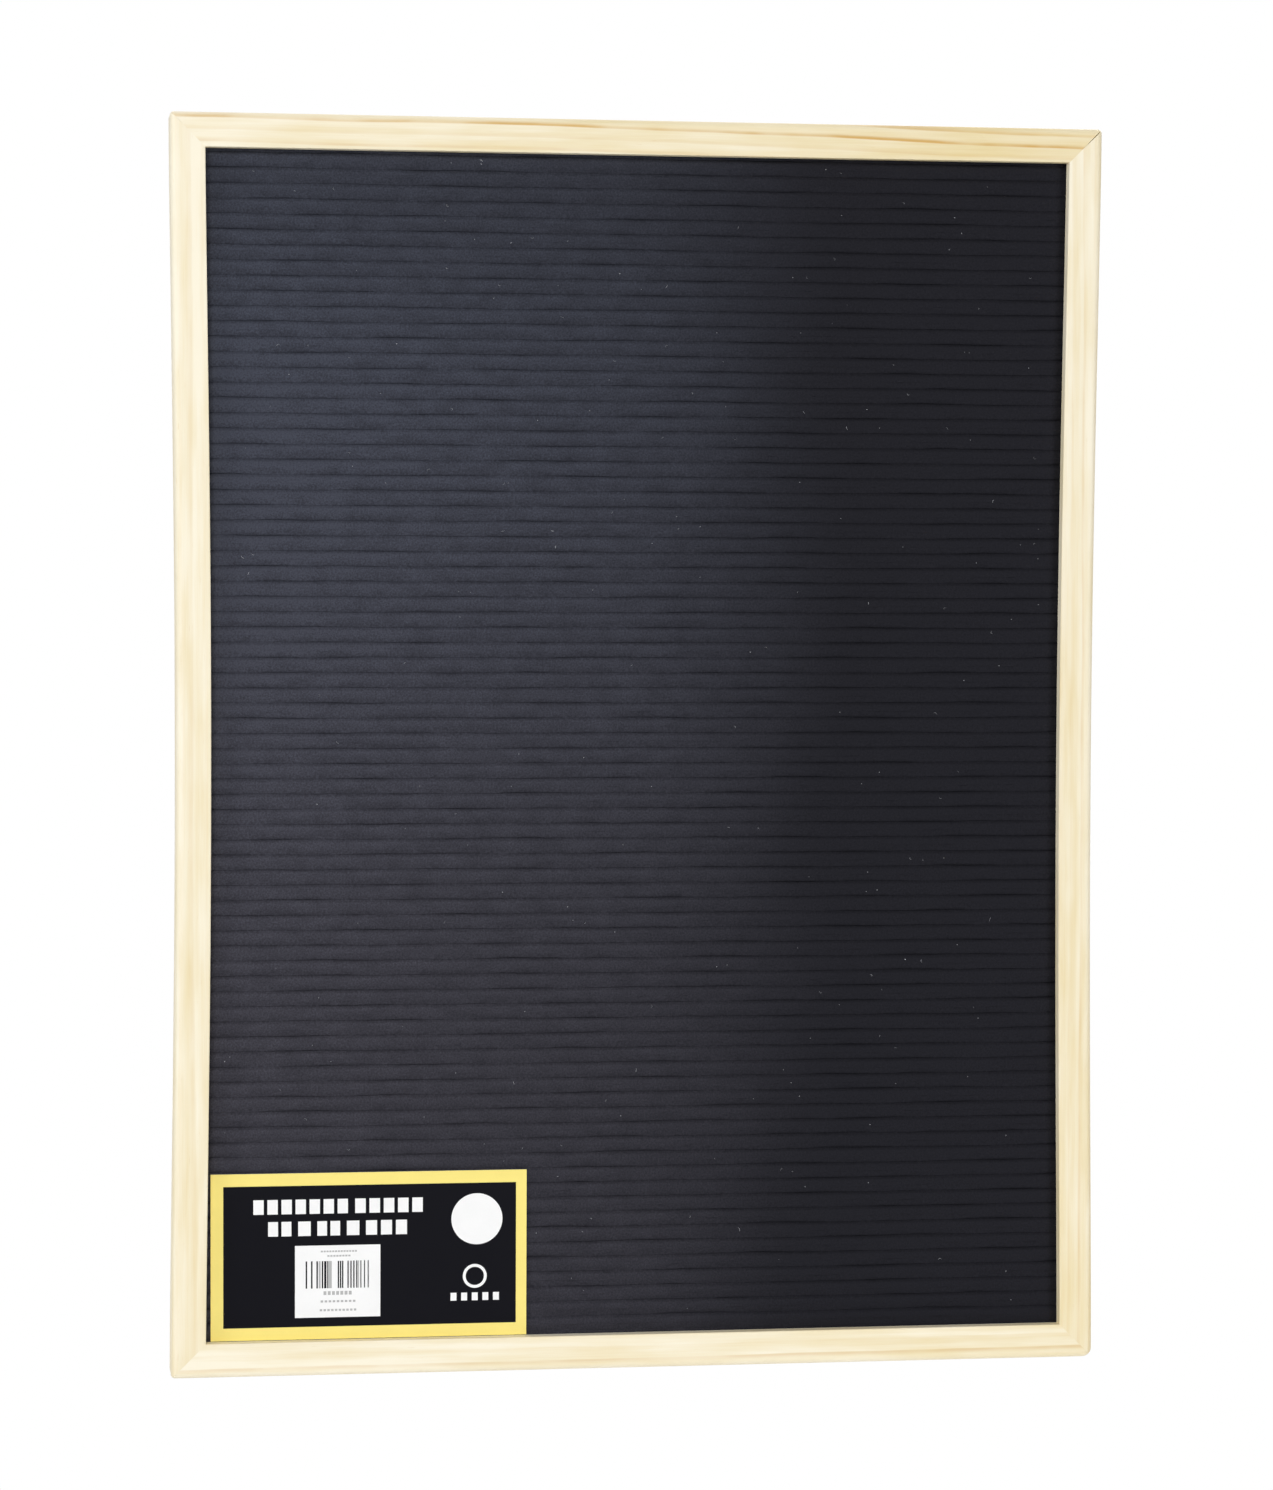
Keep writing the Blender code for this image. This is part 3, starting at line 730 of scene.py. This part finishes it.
def felt_mesh(make):
    """One closed sheet: a fine front, a plain back, and a cap at each side for every groove.

    The front's outermost columns, and its rows above and below the opening, are pressed back by the lip.
    """
    frame_make = settings("frame")
    half_open = BOARD_SIZE.x / 2 - frame_make.face - make.rim_play
    top_open = BOARD_SIZE.z / 2 - frame_make.face - make.rim_play
    across = np.linspace(-half_open, half_open, make.columns - 4)
    across = np.concatenate(([FELT_LOW.x, -half_open], across, [half_open, FELT_HIGH.x]))
    pressed_columns = np.zeros(make.columns, bool)
    pressed_columns[[0, 1, -2, -1]] = True
    rows = felt_front(make, across)
    per_groove = (len(rows) - 1) // make.count
    columns = make.columns
    points = []
    for up, depth in rows:
        height = up - BOARD_MIDDLE.z
        pull = np.array([rail_bend(frame_make, h) for h in height])
        spot = across * (1 - pull / half_open)
        spot[1] -= make.rim_step
        spot[-2] += make.rim_step
        spot[0], spot[-1] = FELT_LOW.x, FELT_HIGH.x
        pressed = pressed_columns | (np.abs(height) > top_open)
        front = FELT_LOW.y + depth + np.where(pressed, make.rim_press, 0.0)
        points += list(zip(spot, front, up))
    faces = []
    for r in range(len(rows) - 1):
        for c in range(columns - 1):
            low = r * columns + c
            faces.append((low, low + 1, low + columns + 1, low + columns))
    back = [[(FELT_LOW.z, make.thickness)]] + felt_back(make)
    first = len(points)
    flat_back = [place for group in back for place in group]
    for x in (FELT_LOW.x, FELT_HIGH.x):
        points += [(x, FELT_LOW.y + depth, up) for up, depth in flat_back]
    count = len(flat_back)
    for b in range(count - 1):
        faces.append((first + b, first + b + 1, first + count + b + 1, first + count + b))
    for column, side in ((0, first), (columns - 1, first + count)):
        step = 0
        for i in range(make.count):
            front = [(i * per_groove + k) * columns + column for k in range(per_groove + 1)]
            behind = [side + step + k for k in range(len(back[i + 1]) + 1)]
            step += len(back[i + 1])
            faces.append(front + behind[::-1])
    for r, edge in ((0, 0), (len(rows) - 1, count - 1)):
        row = [r * columns + c for c in range(columns)]
        faces.append(row + [first + count + edge, first + edge])
    return mesh_of("felt", points, faces)


def felt_material(make):
    made, tree, shader, place = new_material("black_felt_nap", 1.0, 0.02)
    across, _, up = split(tree, place)
    # Painted sheen: the felt is painted lighter at the left. The sheen fades to the felt's own dark colour at
    # a wavy step towards the right, and it is weaker near the top and lower down.
    edge = sway(tree, across, noise(tree, place, 9.0), 0.05)
    step = smooth(tree, edge, 0.105, -0.012)
    slope = smooth(tree, across, -0.2, 0.02, 1.0, 0.52, "LINEAR")
    lower = smooth(tree, up, -0.16, -0.48, 1.0, 0.69)
    top = smooth(tree, up, 0.01, -0.12, 0.66, 1.0)
    # Painted shade and highlight on each rib, within the painted sheen: its upper part is painted lighter and
    # its lower part darker, as light from above falls on it
    from_first = calc(tree, "SUBTRACT", up, groove_up(make, 0))
    turn = calc(tree, "FRACT", calc(tree, "DIVIDE", from_first, make.pitch))
    painted_rib_shade = smooth(tree, turn, 0.16, 0.42, 0.86, 1.02)
    painted_rib_highlight = smooth(tree, turn, 0.50, 0.70, 1.0, 1.09)
    painted_sheen = product(tree, step, slope, lower, top, painted_rib_shade, painted_rib_highlight)
    fuzz = noise(tree, place, 1150.0, 3.0, 0.7)
    blotch = noise(tree, place, (70, 70, 160), 3.0)
    painted_sheen = product(tree, painted_sheen, sway(tree, 1.0, fuzz, 1.1), sway(tree, 1.0, blotch, 1.0))
    sheen_tint = mix(tree, smooth(tree, up, -0.05, -0.45), rgba(make.painted_sheen), rgba(make.painted_sheen_low))
    nap_with_painted_sheen = mix(tree, painted_sheen, rgba(make.dark), sheen_tint)
    tone = smooth(tree, fuzz, 0.25, 0.75, 0.80, 1.20)
    # Painted shade: a darker band just below each groove
    painted_groove_shade = smooth(tree, turn, 0.76, 0.87, 1.02, 0.87)
    surface(tree, shader, toned(tree, nap_with_painted_sheen, product(tree, tone, painted_groove_shade)), fuzz, 0.00025, 0.7)
    return made


def lint_mesh(make):
    """Short bent fibres that lie on the ribs, as thin closed tubes."""
    rng = np.random.default_rng(21)
    sheet = bmesh.new()
    margin = 0.012
    crumb_share = 0.55
    # Least and most length, and least and most thickness
    crumb = ((0.0003, 0.0006), (0.00022, 0.00034))
    thread = ((0.0007, 0.0020), (0.00009, 0.00016))
    for _ in range(make.lint_count):
        x = rng.uniform(FELT_LOW.x + margin, FELT_HIGH.x - margin)
        z = groove_up(make, rng.integers(1, make.count - 1)) + make.pitch * rng.uniform(0.28, 0.72)
        lengths, widths = crumb if rng.uniform() < crumb_share else thread
        size = rng.uniform(*lengths)
        thick = rng.uniform(*widths)
        turn = rng.uniform(0, math.pi)
        curl = rng.uniform(-0.9, 0.9)
        spine = []
        for step in (-1, -0.33, 0.33, 1):
            heading = turn + curl * step
            away = size / 2 * step
            spot = (x + away * math.cos(heading), FELT_LOW.y - thick * 0.6, z + away * math.sin(heading))
            spine.append(Vector(spot))
        if any(CARD_LOW.x < p.x < CARD_HIGH.x and p.z < CARD_HIGH.z for p in spine):
            continue
        add_tube(sheet, spine, thick / 2)
    return to_mesh("lint", sheet)


def add_tube(sheet, spine, radius):
    """A five-sided tube along the points of a flat curve that faces the front."""
    sides = 5
    turns = [2 * math.pi * k / sides for k in range(sides)]
    rings = []
    for i, point in enumerate(spine):
        ahead = (spine[min(i + 1, len(spine) - 1)] - spine[max(i - 1, 0)]).normalized()
        aside = ahead.cross(BACK)
        taper = radius * (0.6 if i in (0, len(spine) - 1) else 1.0)
        ring = [point + (aside * math.cos(t) + BACK * math.sin(t)) * taper for t in turns]
        rings.append([sheet.verts.new(spot) for spot in ring])
    for low, high in zip(rings, rings[1:]):
        for k in range(sides):
            j = (k + 1) % sides
            sheet.faces.new((low[k], low[j], high[j], high[k]))
    sheet.faces.new(rings[0][::-1])
    sheet.faces.new(rings[-1])


class MESSAGEBOARD_OT_felt(bpy.types.Operator):
    """Builds the grooved felt and the lint on it"""

    bl_idname = "message_board.felt"
    bl_label = "Grooved felt"

    def execute(self, context):
        make = settings("felt")
        mesh = felt_mesh(make)
        felt = show("felt_sheet", mesh, felt_material(make))
        soften(mesh, 60)
        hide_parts("felt")
        fibre, tree, shader, place = new_material("lint_fibre", 0.9, 0.1)
        shade = smooth(tree, noise(tree, place, 30.0), 0.3, 0.7)
        tone = mix(tree, shade, rgba(make.lint, 0.45), rgba(make.lint))
        tree.links.new(tone, shader.inputs["Base Color"])
        show("felt_lint", lint_mesh(make), fibre)
        return {"FINISHED"}


# Card


def print_on(tree, base, place, ink, rows):
    """The base colour with rows of ink on it. A row is (across, up, width, height, blocks, gap share)."""
    mask = 0.0
    for across, up, width, height, blocks, gap in rows:
        pitch = width / (blocks - gap) if blocks > 1 else width * 2
        row = placed(tree, "printed_row", {
            "Place": place, "Across": across, "Up": up, "Width": width, "Height": height,
            "Pitch": pitch, "Gap": pitch * gap if blocks > 1 else 0.0,
        })
        mask = calc(tree, "MAXIMUM", row.outputs["Mask"], mask)
    return mix(tree, mask, base, ink)


def printed_line(up, height, blocks):
    """Rows at one height. A block of print is (across, width, blocks, gap share)."""
    return [(across, up, width, height, number, gap) for across, width, number, gap in blocks]


def ring_mask(tree, place, across, up, outer, inner):
    """1 on a printed ring."""
    flat = vector(tree, "MULTIPLY", place, (1, 0, 1))
    reach = node(tree, "ShaderNodeVectorMath", {0: flat, 1: (across, 0, up)}, operation="DISTANCE")
    away = reach.outputs["Value"]
    return product(tree, calc(tree, "LESS_THAN", away, outer), calc(tree, "GREATER_THAN", away, inner))


def on_paper(tree, shader, place, inked):
    """Gives the shader a printed colour on faintly fibrous paper."""
    shade, height = placed(tree, "paper_fibre", {"Place": place}).outputs
    surface(tree, shader, toned(tree, inked, shade), height, 0.00003, 0.3)


def card_material(make):
    """Satin card: a border, a dark field, and plain blocks in place of its words and mark."""
    made, tree, shader, place = new_material("printed_card", 0.5, 0.04)
    spot = vector(tree, "SUBTRACT", place, tuple(CARD_LOW))
    wide = CARD_HIGH.x - CARD_LOW.x
    high = CARD_HIGH.z - CARD_LOW.z
    middle = (wide + make.border - make.right_border) / 2
    field = [(middle, high / 2, wide - make.border - make.right_border, high - 2 * make.border, 1, 0)]
    inked = print_on(tree, rgba(make.yellow), spot, rgba(make.black), field)
    letter, gap = 0.0070, 0.26
    words = printed_line(0.0639, letter, [(0.0429, 0.0452, 7, gap), (0.0852, 0.0325, 5, gap)])
    words += printed_line(0.0533, letter, [
        (0.0329, 0.0111, 2, gap), (0.0447, 0.0060, 1, 0), (0.0563, 0.0109, 2, gap),
        (0.0680, 0.0060, 1, 0), (0.0840, 0.0197, 3, gap),
    ])
    words += printed_line(0.0190, 0.0038, [(0.1266, 0.0234, 5, 0.44)])
    inked = print_on(tree, inked, spot, rgba(make.white), words)
    inked = mix(tree, ring_mask(tree, spot, 0.1266, 0.0289, 0.0058, 0.0044), inked, rgba(make.white))
    # The card's edges and back are bare
    _, facing, _ = split(tree, tree.nodes.new("ShaderNodeNewGeometry").outputs["Normal"])
    bare = calc(tree, "GREATER_THAN", facing, -0.7)
    on_paper(tree, shader, place, mix(tree, bare, inked, rgba(make.white, 0.85)))
    return made


def sticker_material(name, make, dark=(), grey=()):
    """White paper, with rows of dark and grey print measured from the label's corner."""
    made, tree, shader, place = new_material(name, 0.5, 0.1)
    inked = rgba(make.white)
    spot = vector(tree, "SUBTRACT", place, tuple(LABEL_LOW))
    for ink, rows in ((make.black, dark), (make.grey, grey)):
        if rows:
            inked = print_on(tree, inked, spot, rgba(ink), rows)
    on_paper(tree, shader, place, inked)
    return made


class MESSAGEBOARD_OT_card(bpy.types.Operator):
    """Prints the card and its two stickers"""

    bl_idname = "message_board.card"
    bl_label = "Card and stickers"

    def execute(self, context):
        make = settings("card")
        repaint(["card"], card_material(make))
        high = LABEL_HIGH.z - LABEL_LOW.z
        bar_up, bar = high - 0.0141, 0.0131
        dark = printed_line(bar_up, bar, [
            (0.0106, 0.0110, 5, 0.72), (0.0145, 0.0011, 1, 0), (0.0218, 0.0027, 3, 0.35),
            (0.0275, 0.0048, 4, 0.55), (0.0333, 0.0040, 3, 0.72),
        ])
        grey = printed_line(bar_up, bar, [
            (0.0167, 0.0018, 1, 0), (0.0118, 0.0009, 1, 0), (0.0304, 0.0006, 1, 0),
        ])
        grey += printed_line(high - 0.0029, 0.0008, [(0.0210, 0.0173, 13, 0.25)])
        grey += printed_line(high - 0.0051, 0.0008, [(0.0210, 0.0111, 8, 0.25)])
        grey += printed_line(high - 0.0230, 0.0018, [(0.0204, 0.0135, 7, 0.30)])
        grey += printed_line(high - 0.0270, 0.0010, [(0.0206, 0.0167, 9, 0.35)])
        grey += printed_line(high - 0.0312, 0.0010, [(0.0206, 0.0175, 10, 0.35)])
        repaint(["label_sticker"], sticker_material("label_paper", make, dark, grey))
        repaint(["round_sticker"], sticker_material("spot_paper", make))
        return {"FINISHED"}


# Back


def hardboard_material(make):
    """Pressed fibre board: short pale and dark fibres that lie every way, under faint clouds."""
    made, tree, shader, place = new_material("pressed_fibre_board", 0.62, 0.4)
    fibre = noise(tree, place, 420.0, 4.0, distortion=2.2)
    shade = sway(tree, smooth(tree, fibre, 0.35, 0.7), noise(tree, place, 14.0, 3.0), 0.8)
    fleck = smooth(tree, noise(tree, place, 900.0), 0.60, 0.72, 0.0, 0.75)
    board = mix(tree, shade, rgba(make.board), rgba(make.board, 0.70))
    board = mix(tree, fleck, board, rgba(make.board_dark))
    surface(tree, shader, board, fibre, 0.00008, 0.5)
    return made


def steel_material(make):
    """Zinc-plated steel: rolled streaks, small spangle and scuffs."""
    made, tree, shader, place = new_material("zinc_plated_steel", 0.34, 0.5, 1.0)
    rolled = noise(tree, place, (160, 2600, 2600), 3.0)
    spangle = smooth(tree, noise(tree, place, 600.0), 0.3, 0.7)
    scuff = smooth(tree, noise(tree, place, 230.0, 4.0), 0.56, 0.7)
    metal = mix(tree, spangle, rgba(make.steel), rgba(make.steel, 0.78))
    metal = mix(tree, scuff, metal, rgba(make.steel, 0.6))
    rough = calc(tree, "MULTIPLY_ADD", rolled, 0.22, calc(tree, "MULTIPLY_ADD", scuff, 0.12, 0.22))
    surface(tree, shader, metal, rolled, 0.00002, 0.5, rough)
    return made


def core_material(make):
    """Dark moulded core with a fine grained skin."""
    made, tree, shader, place = new_material("moulded_core", 0.6, 0.4)
    grain = noise(tree, place, 900.0, 3.0)
    surface(tree, shader, mix(tree, grain, rgba(make.core), rgba(make.core, 0.6)), grain, 0.00005, 0.4)
    return made


def ease_edges(name, width):
    """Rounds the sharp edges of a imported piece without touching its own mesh."""
    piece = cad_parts[name]
    piece.data.shade_smooth()
    weld = piece.modifiers.new("weld", "WELD")
    weld.merge_threshold = 0.00001
    flats = piece.modifiers.new("whole flats", "DECIMATE")
    flats.decimate_type = "DISSOLVE"
    flats.angle_limit = math.radians(2)
    ease = piece.modifiers.new("eased edges", "BEVEL")
    ease.width = width
    ease.segments = 2
    ease.limit_method = "ANGLE"
    ease.angle_limit = math.radians(30)
    even_shading(piece)


def rivet_mesh(name):
    """A rivet turned from its own section: flange in front, shank, and a domed head behind."""
    low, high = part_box(name)
    axis = (low + high) / 2
    radius = (high.x - low.x) / 2
    head_height = 0.0008
    shank, flange = 0.0013, 0.0023  # their radii
    head_base = high.y - head_height
    flange_back = low.y + 0.00055
    turns = np.linspace(0, math.pi / 2, 9)
    dome = [(radius * math.sin(t), head_base + head_height * math.cos(t)) for t in turns]
    dome.append((radius * 0.97, head_base))
    profile = dome + [(shank, head_base), (shank, flange_back), (flange, flange_back), (flange, low.y)]
    sides = 40
    points = [(axis.x, high.y, axis.z)]
    for r, y in profile[1:]:
        for k in range(sides):
            t = 2 * math.pi * k / sides
            points.append((axis.x + r * math.cos(t), y, axis.z + r * math.sin(t)))
    faces = [(0, 1 + k, 1 + (k + 1) % sides) for k in range(sides)]
    for ring in range(len(profile) - 2):
        base = 1 + ring * sides
        for k in range(sides):
            j = (k + 1) % sides
            faces.append((base + k, base + sides + k, base + sides + j, base + j))
    last = 1 + (len(profile) - 2) * sides
    faces.append([last + k for k in range(sides)])
    return mesh_of(name, points, faces)


class MESSAGEBOARD_OT_back(bpy.types.Operator):
    """Finishes the core, the backing board, the hangers, the rivets, the points and the V-nails"""

    bl_idname = "message_board.back"
    bl_label = "Back and fittings"

    def execute(self, context):
        make = settings("back")
        steel = steel_material(make)
        repaint(["core_panel"], core_material(make))
        repaint(["backing_board"], hardboard_material(make))
        fittings = nodes_starting("point_", "v_nail_", "hanger_")
        repaint(fittings, steel)
        for name in nodes_starting("hanger_", "point_"):
            ease_edges(name, make.edge_round)
        for name in nodes_starting("rivet_"):
            mesh = rivet_mesh(name)
            rivet = show(name + "_turned", mesh, steel)
            soften(mesh, 40)
            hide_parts(name)
        return {"FINISHED"}


# Stage

WHITE = (1.0, 1.0, 1.0)

# Place and width of each lamp in metres. Its watts stand under its name in the stage settings
LAMPS = {
    "key": ((-0.95, -2.55, 1.0), 1.1),
    "side": ((-2.2, -0.9, 0.0), 0.9),
    "fill": ((1.55, -2.35, -0.2), 1.2),
    "low": ((0.25, -1.5, -1.9), 1.2),
    "behind": ((1.5, 2.0, 1.3), 1.2),
    "above": ((0.0, 0.6, 1.9), 1.2),
}


def seen_ray(tree):
    """1 for camera, glossy and transmission rays."""
    rays = tree.nodes.new("ShaderNodeLightPath").outputs
    seen = calc(tree, "MAXIMUM", rays["Is Camera Ray"], rays["Is Glossy Ray"])
    return calc(tree, "MAXIMUM", seen, rays["Is Transmission Ray"])


def white_world(strength):
    """Even light, and plain white where it is seen."""
    world = bpy.data.worlds.new("studio")
    world.use_nodes = True
    tree = world.node_tree
    tree.nodes.clear()
    even = node(tree, "ShaderNodeBackground", {"Color": rgba(WHITE), "Strength": strength})
    white = node(tree, "ShaderNodeBackground", {"Color": rgba(WHITE), "Strength": 1.0})
    both = node(tree, "ShaderNodeMixShader", {0: seen_ray(tree), 1: even.outputs[0], 2: white.outputs[0]})
    node(tree, "ShaderNodeOutputWorld", {"Surface": both.outputs[0]})
    return world


def floor_material(reach):
    """Pale matt floor that keeps the shadow, runs out to white at its rim, and is clear from below."""
    made, tree, shader, place = new_material("pale_floor", 0.9, 0.1)
    mottled = mix(tree, noise(tree, place, 3.0), rgba(WHITE, 0.86), rgba(WHITE, 0.90))
    tree.links.new(mottled, shader.inputs["Base Color"])
    away = node(tree, "ShaderNodeVectorMath", {0: place}, operation="LENGTH").outputs["Value"]
    rim = product(tree, smooth(tree, away, reach * 0.45, reach * 0.95), seen_ray(tree))
    glow = node(tree, "ShaderNodeEmission", {"Color": rgba(WHITE), "Strength": 1.0})
    both = node(tree, "ShaderNodeMixShader", {0: rim, 1: shader.outputs[0], 2: glow.outputs[0]})
    under = tree.nodes.new("ShaderNodeNewGeometry").outputs["Backfacing"]
    clear = tree.nodes.new("ShaderNodeBsdfTransparent").outputs[0]
    whole = node(tree, "ShaderNodeMixShader", {0: under, 1: both.outputs[0], 2: clear})
    tree.links.new(whole.outputs[0], tree.nodes["Material Output"].inputs["Surface"])
    return made


def area_light(name, place, width, watts):
    """A round lamp that looks at the middle of the board."""
    lamp = bpy.data.lights.new(name, "AREA")
    lamp.shape = "DISK"
    lamp.size = width
    lamp.energy = watts
    made = bpy.data.objects.new(name, lamp)
    made.location = place
    made.rotation_euler = (BOARD_MIDDLE - Vector(place)).to_track_quat("-Z", "Y").to_euler()
    bpy.context.scene.collection.objects.link(made)


class MESSAGEBOARD_OT_stage(bpy.types.Operator):
    """Sets the camera, the lights, the white surroundings and the floor"""

    bl_idname = "message_board.stage"
    bl_label = "Stage"

    def execute(self, context):
        make = settings("stage")
        scene = context.scene
        scene.view_settings.view_transform = "Standard"
        camera = bpy.data.objects.new("camera", bpy.data.cameras.new("camera"))
        camera.data.sensor_width = 36
        camera.data.lens = make.lens
        turn = Matrix.Rotation(make.yaw, 4, "Z") @ Matrix.Rotation(make.pitch, 4, "X")
        turn = turn @ Matrix.Rotation(make.roll, 4, "Y") @ Matrix.Rotation(math.radians(90), 4, "X")
        camera.matrix_world = Matrix.Translation(Vector(make.camera_place)) @ turn
        scene.collection.objects.link(camera)
        scene.camera = camera

        scene.world = white_world(make.sky)
        for name, (place, width) in LAMPS.items():
            area_light(name, place, width, getattr(make, name))

        sheet = bmesh.new()
        bmesh.ops.create_circle(sheet, cap_ends=True, segments=96, radius=make.floor_reach)
        floor = bpy.data.objects.new("floor", to_mesh("floor", sheet))
        floor.location = (0, 0, BOARD_LOW.z - make.floor_drop)
        floor.data.materials.append(floor_material(make.floor_reach))
        scene.collection.objects.link(floor)
        return {"FINISHED"}


class MESSAGEBOARD_PT_sidebar(bpy.types.Panel):
    """Lists the steps that dress the board."""

    bl_idname = "MESSAGEBOARD_PT_sidebar"
    bl_label = "Message board"
    bl_space_type = "VIEW_3D"
    bl_region_type = "UI"
    bl_category = "Message board"

    def draw(self, context):
        for name, (_, step) in PAGES.items():
            box = self.layout.box()
            box.operator(step.bl_idname)
            group = settings(name)
            for prop in group.bl_rna.properties:
                if prop.identifier not in ("rna_type", "name"):
                    box.prop(group, prop.identifier)


# The settings of each part of the sidebar, and the step that uses them
PAGES = {
    "frame": (MessageBoardFrameSettings, MESSAGEBOARD_OT_rails),
    "felt": (MessageBoardFeltSettings, MESSAGEBOARD_OT_felt),
    "card": (MessageBoardCardSettings, MESSAGEBOARD_OT_card),
    "back": (MessageBoardBackSettings, MESSAGEBOARD_OT_back),
    "stage": (MessageBoardStageSettings, MESSAGEBOARD_OT_stage),
}
CLASSES = [*(made for page in PAGES.values() for made in page), MESSAGEBOARD_PT_sidebar]


def register():
    for made in CLASSES:
        bpy.utils.register_class(made)
    for name, (group, _) in PAGES.items():
        setattr(bpy.types.Scene, "message_board_" + name, bpy.props.PointerProperty(type=group))


def unregister():
    for name in PAGES:
        delattr(bpy.types.Scene, "message_board_" + name)
    for made in reversed(CLASSES):
        bpy.utils.unregister_class(made)


def main():
    register()
    bpy.ops.message_board.rails()
    bpy.ops.message_board.felt()
    bpy.ops.message_board.card()
    bpy.ops.message_board.back()
    bpy.ops.message_board.stage()


if __name__ == "__main__":
    main()
